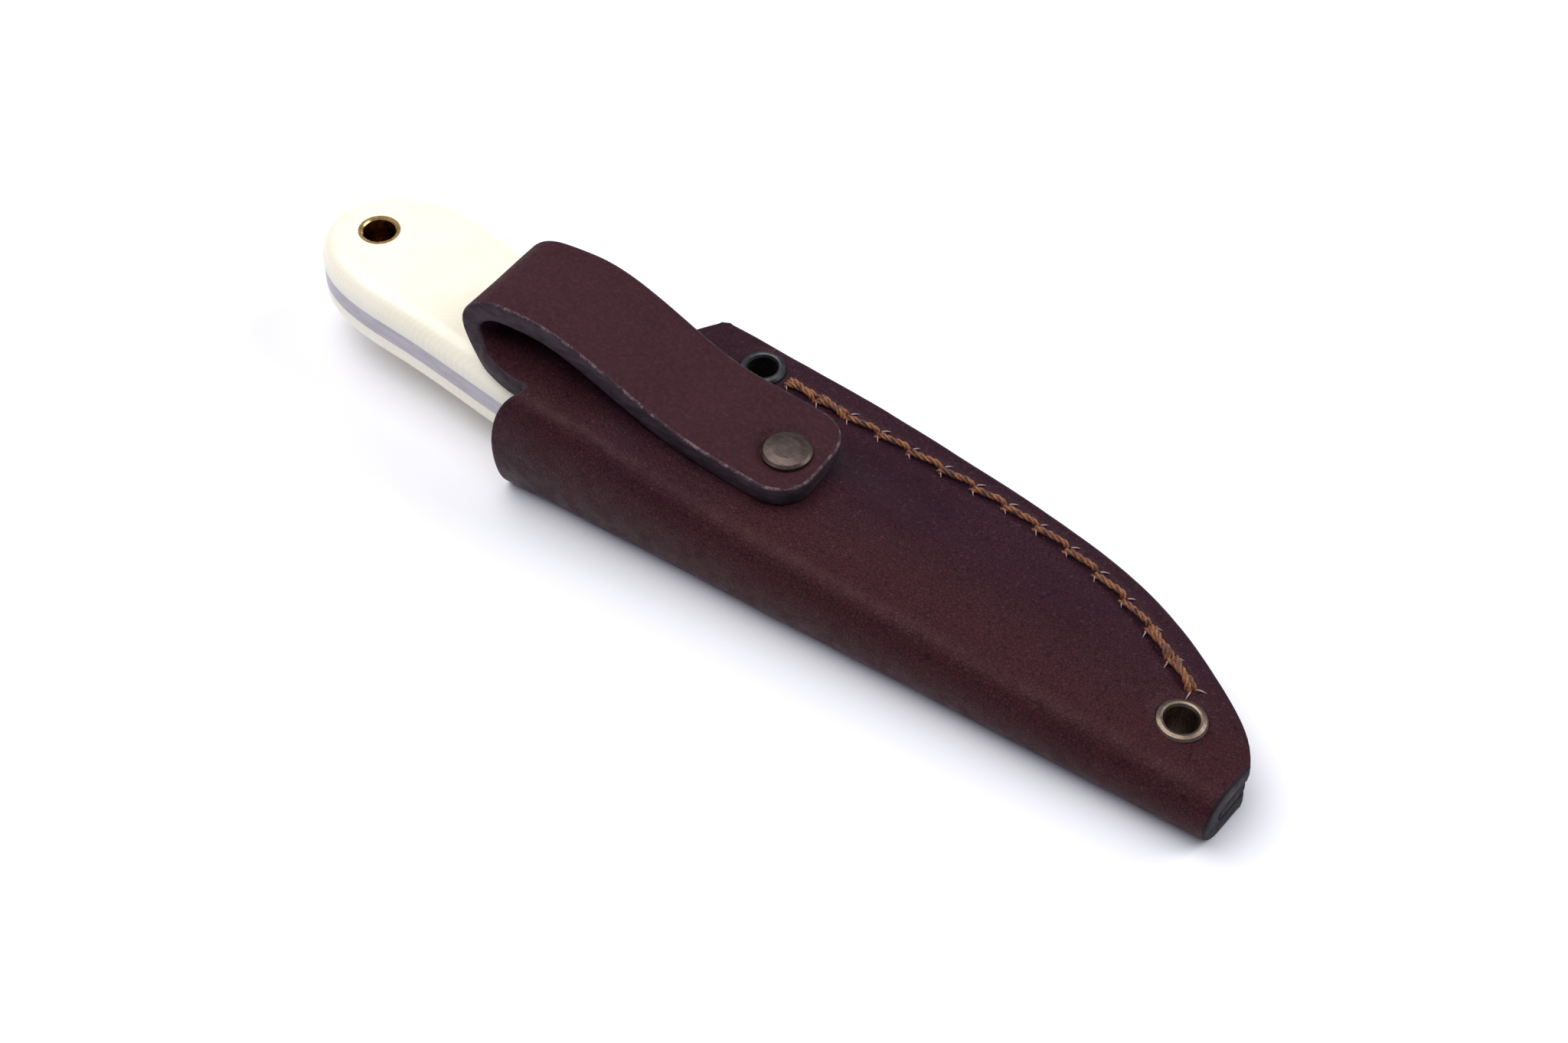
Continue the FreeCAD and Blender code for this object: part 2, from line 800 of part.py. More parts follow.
def bevel_form(side):
    """The wedge of steel ground away beside the cutting edge, on one side of the blade."""
    width = size("bevel_width")
    slope = (HALF_TANG - size("edge_land") / 2) / width
    outside = -1.5
    inside = width + 0.4
    crest = HALF_TANG + 0.4 * slope
    low = size("edge_land") / 2 + outside * slope
    count = 16
    sections = []
    for i in range(count + 2):
        share = min(1.0, i / count)
        length = cutting_edge.length() * share
        at = cutting_edge.parameterAtDistance(length, cutting_edge.FirstParameter)
        tangent = cutting_edge.tangent(at)[0]
        inward_way = Vector(tangent.y, -tangent.x, 0)
        past_point = tangent * (3.0 if i > count else 0.0)
        point = cutting_edge.value(at) + past_point
        corners = [
            point + inward_way * outside + Vector(0, 0, side * low),
            point + inward_way * inside + Vector(0, 0, side * crest),
            point + inward_way * outside + Vector(0, 0, side * (crest + 1)),
        ]
        sections.append(Part.makePolygon(corners + corners[:1]))
    form = keep("upper_bevel" if side > 0 else "lower_bevel", Part.makeLoft(sections, True, True))
    form.Placement = Placement(Vector(0, 0, size("knife_rise")), KNIFE_TURN)
    return form


def blade_part():
    body = knife_body("blade_plate")
    body.Tip = plate_pad(body, blade_outline(), "[tang_thickness]", "-[tang_thickness] / 2")
    upper_ground = boolean("Part::Cut", "upper_ground", body, bevel_form(1))
    return boolean("Part::Cut", "blade", upper_ground, bevel_form(-1))


RAMP_START = size("guard_line") - 22
RAMP_FRONT = size("guard_line") + 1


def scale_body(name, side):
    """A handle scale: rounded all round, thinning to its front in a straight ramp."""
    body = knife_body(name)
    offset = "[tang_thickness] / 2" if side > 0 else "-[tang_thickness] / 2 - [scale_thickness]"
    pad = plate_pad(body, scale_outline(), "[scale_thickness]", offset)
    outer = side * (HALF_TANG + size("scale_thickness"))
    longest_hole_edge = 2 * math.pi * size("lanyard_outer")

    def on_rim(edge):
        flat_out = all(abs(vertex.Z - outer) < 1e-6 for vertex in edge.Vertexes)
        return flat_out and edge.Length > 1.1 * longest_hole_edge

    rounding = body.newObject("PartDesign::Fillet", f"{name}_rounding")
    rounding.Base = (pad, edges_where(pad.Shape, on_rim))
    bind(rounding, "Radius", "[scale_round]")
    doc.recompute()
    low = side * (HALF_TANG + size("scale_front"))
    top = outer + 2 * side
    ramp = sketch_on(body, "XZ_Plane", f"{name}_ramp_side")
    wedge = [(RAMP_START, outer), (RAMP_FRONT, low), (RAMP_FRONT, top), (RAMP_START, top)]
    for first, last in zip(wedge, wedge[1:] + wedge[:1]):
        ramp.addGeometry(Part.LineSegment(Vector(*first, 0), Vector(*last, 0)), False)
    cut = body.newObject("PartDesign::Pocket", f"{name}_ramp")
    cut.Profile = ramp
    cut.Type = "ThroughAll"
    cut.Midplane = True
    body.Tip = cut
    return body


def lanyard_tube():
    """A brass tube through tang and scales, its rims eased and flush."""
    outer = size("lanyard_outer")
    bore = size("lanyard_bore")
    reach = HALF_TANG + size("scale_thickness")
    ease = 0.2
    profile = [
        (bore, -reach + ease),
        (bore + ease, -reach),
        (outer, -reach),
        (outer, reach),
        (bore + ease, reach),
        (bore, reach - ease),
    ]
    body = turned("lanyard_tube", profile)
    on_knife(body, "lanyard")
    return body


def on_knife(feature, spot):
    """Set a round piece square to the knife's plane at one of its holes."""
    base = KNIFE_TURN.multVec(Vector(size(f"{spot}_along"), size(f"{spot}_across"), 0))
    feature.Placement = Placement(base + Vector(0, 0, size("knife_rise")), KNIFE_TURN)
    bind(feature, "Placement.Base.x", f"[{spot}_along] * cos([knife_tilt] * 1deg)")
    bind(feature, "Placement.Base.z", f"[knife_rise] - [{spot}_along] * sin([knife_tilt] * 1deg)")


def pin_body(spot):
    """A plain brass pin whose ends are flush with the scales."""
    reach = HALF_TANG + size("scale_thickness")
    if spot == "front_pin":
        share = (RAMP_FRONT - size("front_pin_along")) / (RAMP_FRONT - RAMP_START)
        thinned = size("scale_thickness") - size("scale_front")
        reach = HALF_TANG + size("scale_front") + share * thinned
    radius = size("pin_radius")
    body = turned(spot, [(0, -reach), (radius, -reach), (radius, reach), (0, reach)])
    on_knife(body, spot)
    return body


knife_parts = [
    blade_part(),
    scale_body("back_scale", 1),
    scale_body("front_scale", -1),
    lanyard_tube(),
    pin_body("rear_pin"),
    pin_body("front_pin"),
]
sheath_parts = [sheath_leather, welt, seam_thread]
sheath_parts += eyelet_bodies("upper") + eyelet_bodies("lower") + rivet_bodies()

# ---------------------------------------------------------------- checks and files

doc.recompute()
faulty = [o.Name for o in doc.Objects if "Invalid" in o.State or "Error" in o.State]
if faulty:
    raise RuntimeError(f"failed features: {faulty}")

os.makedirs("parts", exist_ok=True)
for part in knife_parts + sheath_parts:
    part.Label = part.Name
    shape = part.Shape
    if shape.isNull() or not shape.isValid() or shape.Volume <= 0:
        raise RuntimeError(f"bad shape: {part.Label}")
    shape.exportStep(f"parts/{part.Label}.step")
    print(part.Label, len(shape.Solids), round(shape.Volume, 1))
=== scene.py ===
import math

import bmesh
import bpy
import numpy as np
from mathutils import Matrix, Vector, noise


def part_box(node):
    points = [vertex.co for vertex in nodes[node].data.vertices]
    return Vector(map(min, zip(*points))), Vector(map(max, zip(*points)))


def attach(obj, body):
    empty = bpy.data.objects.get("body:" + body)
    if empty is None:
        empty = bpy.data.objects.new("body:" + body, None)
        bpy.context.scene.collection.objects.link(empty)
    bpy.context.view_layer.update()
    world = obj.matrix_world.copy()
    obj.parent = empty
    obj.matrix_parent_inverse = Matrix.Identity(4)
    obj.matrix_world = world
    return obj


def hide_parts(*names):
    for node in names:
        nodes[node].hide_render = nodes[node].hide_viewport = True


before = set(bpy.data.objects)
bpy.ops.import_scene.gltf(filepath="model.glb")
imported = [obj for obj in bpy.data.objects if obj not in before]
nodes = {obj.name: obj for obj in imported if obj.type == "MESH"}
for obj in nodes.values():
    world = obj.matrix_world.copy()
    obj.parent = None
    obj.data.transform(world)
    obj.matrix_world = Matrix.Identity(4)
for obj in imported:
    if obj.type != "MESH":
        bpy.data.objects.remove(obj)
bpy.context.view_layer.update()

# Lengths in this file are millimetres until a mesh is made; MM turns them into metres.
MM = 0.001

# ---------------------------------------------------------------- curves


class Curve:
    """A smooth curve through points, measured along its chords."""

    def __init__(self, points):
        self.points = np.array(points, float)
        steps = np.linalg.norm(np.diff(self.points, axis=0), axis=1)
        self.knots = np.concatenate([[0.0], np.cumsum(steps)])
        self.length = self.knots[-1]
        count = len(self.points)
        matrix = np.eye(count)
        right = np.zeros_like(self.points)
        for i in range(1, count - 1):
            before, after = steps[i - 1], steps[i]
            matrix[i, i - 1 : i + 2] = (before, 2 * (before + after), after)
            rise = (self.points[i + 1] - self.points[i]) / after
            fall = (self.points[i] - self.points[i - 1]) / before
            right[i] = 6 * (rise - fall)
        self.bends = np.linalg.solve(matrix, right)

    def at(self, distance):
        distance = min(max(distance, 0.0), self.length)
        i = int(np.searchsorted(self.knots, distance, side="right")) - 1
        i = min(max(i, 0), len(self.points) - 2)
        step = self.knots[i + 1] - self.knots[i]
        b = (distance - self.knots[i]) / step
        a = 1 - b
        bend = (a**3 - a) * self.bends[i] + (b**3 - b) * self.bends[i + 1]
        return a * self.points[i] + b * self.points[i + 1] + bend * step * step / 6

    def way(self, distance):
        """Unit direction of travel."""
        reach = 0.02
        run = self.at(distance + reach) - self.at(distance - reach)
        return run / np.linalg.norm(run)

    def sampled(self, count):
        return np.array([self.at(self.length * i / count) for i in range(count + 1)])


LOOKUP_STEPS = 240


def lookup(points, key, value):
    """A function that reads one coordinate of a curve where another has a given value."""
    rows = Curve(points).sampled(LOOKUP_STEPS)
    order = np.argsort(rows[:, key])
    keys = rows[order, key]
    values = rows[order, value]
    return lambda place: float(np.interp(place, keys, values))


def blend(first, last, share):
    return first + (last - first) * share


def eased(share):
    share = min(1.0, max(0.0, share))
    return share * share * (3 - 2 * share)


# ---------------------------------------------------------------- the sheath's shape

LEATHER = 3.1
FOLD_DEPTH = 4.2
TIP_END = 76.5
SEAM_START = (-19.2, 19.8)
TIP_CORNER = (TIP_END, -9.8)
TIP_SLANT = 0.121

# along, fold side, crown height, crown's far limit, seam flat's inner limit, seam height
STATIONS = [
    (-44, -18.7, 18.5, 7.5, 14.5, 9.6),
    (-28, -18.65, 18.5, 7.5, 14.5, 9.6),
    (-16, -18.55, 16.8, 7.2, 12.8, 9.6),
    (-5, -18.45, 14.6, 4.6, 11.4, 9.6),
    (12, -18.55, 12.9, 2.0, 9.6, 9.6),
    (30, -18.55, 11.8, 0.0, 7.0, 9.6),
    (50, -18.6, 10.6, -4.0, 1.2, 9.3),
    (66, -18.65, 9.3, -11.0, -6.0, 8.8),
    (82, -18.65, 8.5, -13.0, -9.0, 8.4),
]
STATION_ALONG = [row[0] for row in STATIONS]

SEAM_POINTS = [
    (-24, 19.8), SEAM_START, (-9.9, 18.95), (6.4, 17.25), (22.5, 14.85), (38.1, 12.1),
    (48.4, 9.6), (59.6, 5.05), (68.5, -0.8), (75.6, -7.9), TIP_CORNER,
]
seam_side = lookup(SEAM_POINTS, 0, 1)
MOUTH_CORNER = [(-22.9, 15.6), (-20.5, 19.1), (-20.0, 19.6), SEAM_START]
FRONT_MOUTH_START = (-33.1, -15.5)
BACK_MOUTH_START = (-29.3, -15.0)
FRONT_MOUTH_SLANT = -0.18
BACK_MOUTH_SLANT = 0.874
front_mouth = lookup([FRONT_MOUTH_START, (-31.2, -5.0), (-27.6, 5.0)] + MOUTH_CORNER, 1, 0)
back_mouth = lookup([BACK_MOUTH_START, (-26.9, -4.5), (-24.8, 6.0)] + MOUTH_CORNER, 1, 0)
OUTLINE_TOP = 20.0


def mouth_side(mouth, start, slant, y):
    """Where the cut runs on one panel; round the fold, before the panel's start, it is straight."""
    start_x, start_y = start
    return mouth(y) if y > start_y else start_x + slant * (y - start_y)


def mouth_at(y, z):
    """Where the mouth's cut runs at a height, from the front panel round the fold to the back."""
    front = mouth_side(front_mouth, FRONT_MOUTH_START, FRONT_MOUTH_SLANT, y)
    back = mouth_side(back_mouth, BACK_MOUTH_START, BACK_MOUTH_SLANT, y)
    return blend(front, back, min(1.0, z / OUTLINE_TOP))


def tip_at(y):
    """Where the tip's slanted cut runs."""
    return TIP_END - TIP_SLANT * max(0.0, TIP_CORNER[1] - y)


def station(along):
    """Fold side, crown height, crown's limit, seam flat's limit and seam height at a place along."""
    return [float(np.interp(along, STATION_ALONG, [row[i] for row in STATIONS])) for i in range(1, 6)]


# Past the mouth the slope between the crown and the seam flat grows wider.
WIDENS_FROM = -12
WIDENS_OVER = 24
CROWN_GIVES = 5.0
SEAM_GIVES = 1.0


def panel_top(along, y):
    """Height of the folded panel at a plan point and the slope there."""
    _, crown, crown_limit, seam_limit, seam = station(along)
    widened = eased((along - WIDENS_FROM) / WIDENS_OVER)
    crown_limit -= CROWN_GIVES * widened
    seam_limit += SEAM_GIVES * widened
    span = seam_limit - crown_limit
    share = min(1.0, max(0.0, (seam_limit - y) / span))
    rise = crown - seam
    height = seam + rise * share * share * (3 - 2 * share)
    return height, 6 * share * (1 - share) * rise / span


# ---------------------------------------------------------------- thick leather sheets

# Material slots of a sheet
GRAIN, EDGE, FLESH, WORN = range(4)
ARC_STEPS = 3
RIM_BULGE = 0.1
# The most of a rim cell's depth that a rounded arris takes
ROOM_USED = 0.8
# Bands of a rim, counted from the flesh side, that can be rubbed pale
WORN_BANDS = 2


class Skins:
    """The grain and flesh skins of a sheet, filled point by point on a grid of rows and columns."""

    def __init__(self):
        self.index = {}
        self.outer = []
        self.inner = []

    def add(self, key, grain, flesh):
        self.index[key] = len(self.outer)
        self.outer.append(grain)
        self.inner.append(flesh)

    def cells(self):
        """Every square of the grid that has its four corners."""
        found = []
        for row, column in self.index:
            corners = [(row, column), (row, column + 1), (row + 1, column + 1), (row + 1, column)]
            if all(corner in self.index for corner in corners):
                found.append([self.index[corner] for corner in corners])
        return found


def unit(way):
    return way / np.linalg.norm(way)


def rim_of(cells, skin):
    """The open edges of a grid of cells, and for each point on them the way in and the room there."""
    once = {}
    for cell in cells:
        for first, last in zip(cell, cell[1:] + cell[:1]):
            if (last, first) in once:
                del once[(last, first)]
            else:
                once[(first, last)] = cell
    ways = {}
    room = {}
    for (first, last), cell in once.items():
        along = unit(skin[last] - skin[first])
        way = sum(skin[i] for i in cell) / len(cell) - (skin[first] + skin[last]) / 2
        way = way - along * np.dot(way, along)
        depth = 2 * np.linalg.norm(way)
        for point in (first, last):
            ways[point] = ways.get(point, 0) + unit(way)
            room[point] = min(room.get(point, depth), depth)
    return list(once), {point: unit(way) for point, way in ways.items()}, room


def rim_profile(grain, flesh, way, ease):
    """Points round a cut edge from the grain skin to the flesh skin, with both arrises rounded."""
    up = unit(grain - flesh)
    turns = [math.pi / 2 * i / ARC_STEPS for i in range(ARC_STEPS + 1)]
    above = [grain + way * ease * (1 - math.sin(a)) - up * ease * (1 - math.cos(a)) for a in turns]
    below = [flesh + way * ease * (1 - math.sin(a)) + up * ease * (1 - math.cos(a)) for a in turns]
    middle = (grain + flesh) / 2 - way * RIM_BULGE
    return above + [middle] + list(reversed(below))


def thick_sheet(name, skins, ease, worn=()):
    """A solid between the two skins, with rounded rims. Worn holds the rim points that are rubbed."""
    cells = skins.cells()
    edges, ways, room = rim_of(cells, skins.outer)
    mesh = bmesh.new()
    grain = {}
    flesh = {}
    rings = {}
    for point, way in ways.items():
        here = min(ease, ROOM_USED * room[point])
        profile = rim_profile(skins.outer[point], skins.inner[point], way, here)
        rings[point] = [mesh.verts.new(Vector(p) * MM) for p in profile]
        grain[point] = rings[point][0]
        flesh[point] = rings[point][-1]
    for point in sorted({i for cell in cells for i in cell}):
        if point not in grain:
            grain[point] = mesh.verts.new(Vector(skins.outer[point]) * MM)
            flesh[point] = mesh.verts.new(Vector(skins.inner[point]) * MM)
    for cell in cells:
        mesh.faces.new([grain[i] for i in cell]).material_index = GRAIN
        mesh.faces.new([flesh[i] for i in reversed(cell)]).material_index = FLESH
    for first, last in edges:
        bands = len(rings[first]) - 1
        for k in range(bands):
            rim = (rings[last][k], rings[first][k], rings[first][k + 1], rings[last][k + 1])
            rubbed = first in worn and last in worn and k >= bands - WORN_BANDS
            mesh.faces.new(rim).material_index = WORN if rubbed else EDGE
    return finished(name, mesh)


def finished(name, mesh):
    """An object of the scene made from a bmesh, smooth shaded."""
    for face in mesh.faces:
        face.smooth = True
    data = bpy.data.meshes.new(name)
    mesh.to_mesh(data)
    mesh.free()
    piece = bpy.data.objects.new(name, data)
    bpy.context.scene.collection.objects.link(piece)
    return piece


# ---------------------------------------------------------------- stitches

stitch_line = Curve([(-5.85, 13.97), (20.4, 11.5), (42.2, 8.1), (56.5, 2.4), (65.4, -3.2)])
STITCH_HOLES = 15
THREAD_SIDE = 0.42
THREAD_LOW = 0.56


def stitch_place(i):
    """Plan point of an awl hole and the direction across the seam, towards the edge."""
    distance = stitch_line.length * i / (STITCH_HOLES - 1)
    x, y = stitch_line.at(distance)
    way = stitch_line.way(distance)
    return np.array([x, y]), np.array([-way[1], way[0]])


STITCHES = [stitch_place(i) for i in range(STITCH_HOLES)]
STITCH_SAMPLES = stitch_line.sampled(160)


def seam_distance(x, y):
    """Distance in plan from the stitch line."""
    gaps = STITCH_SAMPLES - np.array([x, y])
    return float(np.sqrt((gaps * gaps).sum(axis=1).min()))


# ---------------------------------------------------------------- dents under the fittings

EYELETS = ("upper_eyelet", "lower_eyelet")
RIVET_CAP_THICK = 1.12

# How far the thread's groove and the eyelets' seats go in, and how wide the groove is: above, below
THREAD_PRESS = (0.36, 0.98)
GROOVE_WIDTH = (0.55, 0.7)
GROOVE_SOFT = 0.75
EYELET_PRESS = (0.37, 0.76)
EYELET_FLANGE = 3.45
EYELET_SOFT = 0.9


def centre_of(node):
    """Plan point of a fitting's middle."""
    low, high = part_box(node)
    middle = (low + high) / 2 / MM
    return middle.x, middle.y


EYELET_SPOTS = [centre_of(node) for node in EYELETS]
RIVET_SPOT = centre_of("rivet_cap")
RIVET_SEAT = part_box("rivet_cap")[1].z / MM - RIVET_CAP_THICK


def dent(x, y, spot, radius, soft):
    """1 under a fitting, easing to 0 beyond its rim."""
    distance = math.hypot(x - spot[0], y - spot[1])
    return 1 - eased((distance - radius) / soft)


# Height, size and seed of the slow waves in hand-worked leather
BROAD_WAVES = (0.1, 9.0, 3.0)
FINE_WAVES = (0.05, 3.2, 8.0)
NECK_WAVES = (0.08, 9.0, 3.0)
STRAP_WAVES = (0.1, 8.0, 5.0)


def unevenness(point, waves):
    """How far the leather's skin stands out at a point."""
    height, size, seed = waves
    return height * noise.noise(Vector(point) / size + Vector((seed, 0, 0)))


def pressed(x, y, above):
    """How far the skin is pressed in at a plan point, by thread and eyelets."""
    skin = 0 if above else 1
    press = THREAD_PRESS[skin] * (1 - eased((seam_distance(x, y) - GROOVE_WIDTH[skin]) / GROOVE_SOFT))
    for spot in EYELET_SPOTS:
        press = max(press, EYELET_PRESS[skin] * dent(x, y, spot, EYELET_FLANGE, EYELET_SOFT))
    return press


# ---------------------------------------------------------------- the folded hide

SHEATH_LONG = 100
ROW_STEP = 0.65
RIM_STEP = 0.55
SEAM_GROUP = 9.0
FULL_GROUP_WIDTH = 15
SEAM_COLUMNS = 16
PANEL_COLUMNS = 34
FOLD_COLUMNS = 18
FRONT_COLUMNS = 52
PANEL_END = SEAM_COLUMNS + PANEL_COLUMNS
FOLD_END = PANEL_END + FOLD_COLUMNS
# The fold's last columns count as the underside
UNDERSIDE_START = FOLD_END - 3
COLUMNS = FOLD_END + FRONT_COLUMNS + 1
ROWS = int(SHEATH_LONG / ROW_STEP)
# Passes in which a point's place along and its section settle
SETTLE_PASSES = 6


def panel_place(column, x, inset):
    """(y, z) of a point of the upper panel, from the seam edge in to the fold."""
    edge = seam_side(x)
    width = edge - (station(x)[0] + FOLD_DEPTH)
    group = SEAM_GROUP * min(1.0, width / FULL_GROUP_WIDTH)
    if column == 0:
        y = edge
    elif column <= SEAM_COLUMNS:
        y = edge - blend(RIM_STEP, group, (column - 1) / (SEAM_COLUMNS - 1))
    else:
        y = edge - blend(group, width, (column - SEAM_COLUMNS) / PANEL_COLUMNS)
    height, slope = panel_top(x, y)
    return y, height - inset * math.hypot(1, slope)


def column_place(column, x, inset):
    """(y, z) of a point of the folded section, from the upper seam edge round to the lower one."""
    if column <= PANEL_END:
        return panel_place(column, x, inset)
    fold, crown, _, _, _ = station(x)
    edge = seam_side(x)
    ridge = fold + FOLD_DEPTH
    half = crown / 2
    if column <= FOLD_END:
        angle = math.pi * (column - PANEL_END) / FOLD_COLUMNS
        y = ridge - (FOLD_DEPTH - inset) * math.sin(angle)
        return y, half + (half - inset) * math.cos(angle)
    if column == FOLD_END + FRONT_COLUMNS:
        return edge, inset
    return blend(ridge, edge - RIM_STEP, (column - FOLD_END) / (FRONT_COLUMNS - 1)), inset


def hide_point(row, column, inset):
    """A point of the hide: rows run from the slanted mouth to the tip."""
    x = 0.0
    for _ in range(SETTLE_PASSES):
        y, z = column_place(column, x, inset)
        start = mouth_at(y, z)
        x = blend(start, tip_at(y), row / ROWS)
    return np.array([x, y, z])


def add_panels(skins):
    """Upper panel, fold and underside."""
    for row in range(ROWS + 1):
        for column in range(COLUMNS):
            grain = hide_point(row, column, 0.0)
            flesh = hide_point(row, column, LEATHER)
            above = column <= PANEL_END
            below = column > UNDERSIDE_START
            lift = 0.0 if below else unevenness(grain, BROAD_WAVES) + unevenness(grain, FINE_WAVES)
            if above or below:
                lift -= pressed(grain[0], grain[1], above)
            skins.add((row, column), grain + unit(grain - flesh) * lift, flesh)


# ---------------------------------------------------------------- the belt loop

# The belt loop's middle line seen from the fold side, (x, z)
LOOP_LINE = Curve(
    [
        (-20.0, 15.7), (-24.0, 16.5), (-30.0, 16.98), (-36.5, 17.2), (-40.0, 18.2), (-41.5, 20.9),
        (-39.6, 23.7), (-35.0, 24.8), (-29.5, 24.7), (-22.0, 22.4), (-14.0, 18.95), (-7.0, 16.62),
        (-1.0, 15.78), (6.0, 15.06), (12.8, 14.42),
    ]
)
LOOP_SAMPLES = 900
LOOP_PATH = LOOP_LINE.sampled(LOOP_SAMPLES)
LOOP_PLACES = LOOP_LINE.length * np.arange(LOOP_SAMPLES + 1) / LOOP_SAMPLES
LOOP_TURN = int(np.argmin(LOOP_PATH[:, 0]))
LOOP_STRAIGHT = -36.5
LOOP_OUTER = -41.5
LOOP_END = 10.5
LOOP_CORNER = 5.5
STRAP_STEP = 0.6

# The strap's near and far side along x, on its lower and its upper leg
lower_near = lookup(
    [(-45.5, -9.7), (-41.0, -10.4), (-37.5, -12.2), (-34.0, -13.1), (-30.0, -13.6), (-26.0, -13.8)], 0, 1
)
lower_far = lookup([(-45.5, 5.3), (-34.0, 5.8), (-24.0, 6.6), (-18.6, 7.2)], 0, 1)
upper_near = lookup([(-45.5, -9.7), (-25.0, -9.65), (-8.0, -9.85), (5.0, -10.2), (12, -10.2)], 0, 1)
upper_far = lookup([(-45.5, 5.3), (-27.0, 6.2), (-10.0, 6.0), (5.0, 6.0), (12, 6.0)], 0, 1)


def loop_distance(x, upper):
    """Distance along the loop's line to an x, on its lower or upper leg."""
    if upper:
        return float(np.interp(x, LOOP_PATH[LOOP_TURN:, 0], LOOP_PLACES[LOOP_TURN:]))
    return float(np.interp(-x, -LOOP_PATH[: LOOP_TURN + 1, 0], LOOP_PLACES[: LOOP_TURN + 1]))


def strap_rows():
    """Distances along the loop's line of the strap's rows, past the neck's last one."""
    first = loop_distance(LOOP_STRAIGHT, False)
    last = loop_distance(LOOP_END, True)
    count = int((last - first) / STRAP_STEP)
    return [blend(first, last, i / count) for i in range(1, count + 1)]


TURN_PLACE = loop_distance(LOOP_OUTER, True)
TURN_BLEND = 12


def strap_edges(x, distance):
    """Near and far side of the strap where its line passes x."""
    share = eased((distance - TURN_PLACE + TURN_BLEND / 2) / TURN_BLEND)
    near = blend(lower_near(x), upper_near(x), share)
    far = blend(lower_far(x), upper_far(x), share)
    return near, far


# Columns near a rounded corner keep this much room, within this reach of the rim
CORNER_ROOM = 0.36
CORNER_REACH = 2.2
ON_RIM = 0.01


def round_corner(along, across):
    """Moves a point of the strap's square corner, in corner radii, to a rounded one."""
    u = along * math.sqrt(1 - across * across / 2)
    v = across * math.sqrt(1 - along * along / 2)
    far_out = math.hypot(u, v)
    depth = LOOP_CORNER * (1 - far_out)
    if depth < ON_RIM or far_out == 0:
        return u, v
    diagonal = 2 * u * v / far_out**2
    depth += diagonal * CORNER_ROOM * max(0.0, 1 - depth / CORNER_REACH)
    shrink = (1 - depth / LOOP_CORNER) / far_out
    return u * shrink, v * shrink


def strap_point(share, distance):
    """Middle point of the strap and its grain side's direction."""
    x = LOOP_LINE.at(distance)[0]
    near, far = strap_edges(x, distance)
    y = blend(near, far, share)
    along = (x - LOOP_END + LOOP_CORNER) / LOOP_CORNER
    if distance > TURN_PLACE and along > 0:
        for side, sign in ((near, 1), (far, -1)):
            across = 1 - sign * (y - side) / LOOP_CORNER
            if across > 0:
                u, v = round_corner(along, across)
                x = LOOP_END - LOOP_CORNER * (1 - u)
                y = side + sign * LOOP_CORNER * (1 - v)
                distance = loop_distance(x, True)
                break
    x, z = LOOP_LINE.at(distance)
    way = LOOP_LINE.way(distance)
    return np.array([x, y, z]), np.array([way[1], 0.0, -way[0]])


NECK_ROWS = 14
STRAP_ROOT = (-14.0, 7.4)
RIM_EASE = 0.42
# The strap's arris is rubbed from just before the outer turn, but on its far side only round its end
WORN_START = TURN_PLACE - 1.5
WORN_END = loop_distance(LOOP_END - LOOP_CORNER, True)
FAR_SIDE = 0.8
# The rivet's cap bites into the strap's upper leg
RIVET_LEG = loop_distance(-20.0, True)
RIVET_DENT = 3.6
RIVET_SOFT = 1.5
RIVET_BITE = 0.02


def neck_point(column, share, row):
    """A point between the mouth and the straight part of the loop's lower leg."""
    passed = row / NECK_ROWS
    ease = eased(passed)
    root = (hide_point(0, column, 0.0) + hide_point(0, column, LEATHER)) / 2
    x = blend(root[0], LOOP_STRAIGHT, passed)
    distance = loop_distance(x, False)
    near, far = strap_edges(x, distance)
    y = blend(root[1], blend(near, far, share), ease)
    line_z = LOOP_LINE.at(distance)[1]
    z = blend(root[2] + (line_z - root[2]) * passed, line_z, ease)
    way = LOOP_LINE.way(distance)
    side = np.array([blend(0.0, way[1], ease), 0.0, blend(1.0, -way[0], ease)])
    return np.array([x, y, z]), unit(side)


def strap_columns():
    """Columns of the panel that run on into the strap, with their share across it."""
    places = {column: hide_point(0, column, LEATHER / 2)[1] for column in range(PANEL_END + 1)}
    kept = [column for column, y in places.items() if STRAP_ROOT[0] < y < STRAP_ROOT[1]]
    low = min(places[column] for column in kept)
    high = max(places[column] for column in kept)
    return {column: (places[column] - low) / (high - low) for column in kept}


def add_neck(skins, column, share):
    """The strap's flared root, one column of it."""
    half = LEATHER / 2
    for row in range(1, NECK_ROWS + 1):
        middle, side = neck_point(column, share, row)
        lift = unevenness(middle, NECK_WAVES)
        skins.add((-row, column), middle + side * (half + lift), middle - side * half)


def add_strap(skins, column, share, distances):
    """One column of the strap past its root. Returns its points whose arris would be rubbed."""
    half = LEATHER / 2
    rubbed = set()
    for number, distance in enumerate(distances, start=NECK_ROWS + 1):
        middle, side = strap_point(share, distance)
        lift = unevenness(middle, STRAP_WAVES)
        sink = 0.0
        if distance > RIVET_LEG:
            cap = dent(middle[0], middle[1], RIVET_SPOT, RIVET_DENT, RIVET_SOFT)
            sink = max(0.0, middle[2] + half - RIVET_SEAT + RIVET_BITE) * cap
            lift *= 1 - cap
        skins.add((-number, column), middle + side * half, middle - side * (half + lift - sink))
        if distance > (WORN_END if share > FAR_SIDE else WORN_START):
            rubbed.add(skins.index[(-number, column)])
    return rubbed


def hide_sheet():
    """The one piece of leather: front, fold, back panel and belt loop."""
    skins = Skins()
    add_panels(skins)
    distances = strap_rows()
    rubbed = set()
    for column, share in strap_columns().items():
        add_neck(skins, column, share)
        rubbed |= add_strap(skins, column, share, distances)
    return thick_sheet("sheath_hide", skins, RIM_EASE, rubbed)


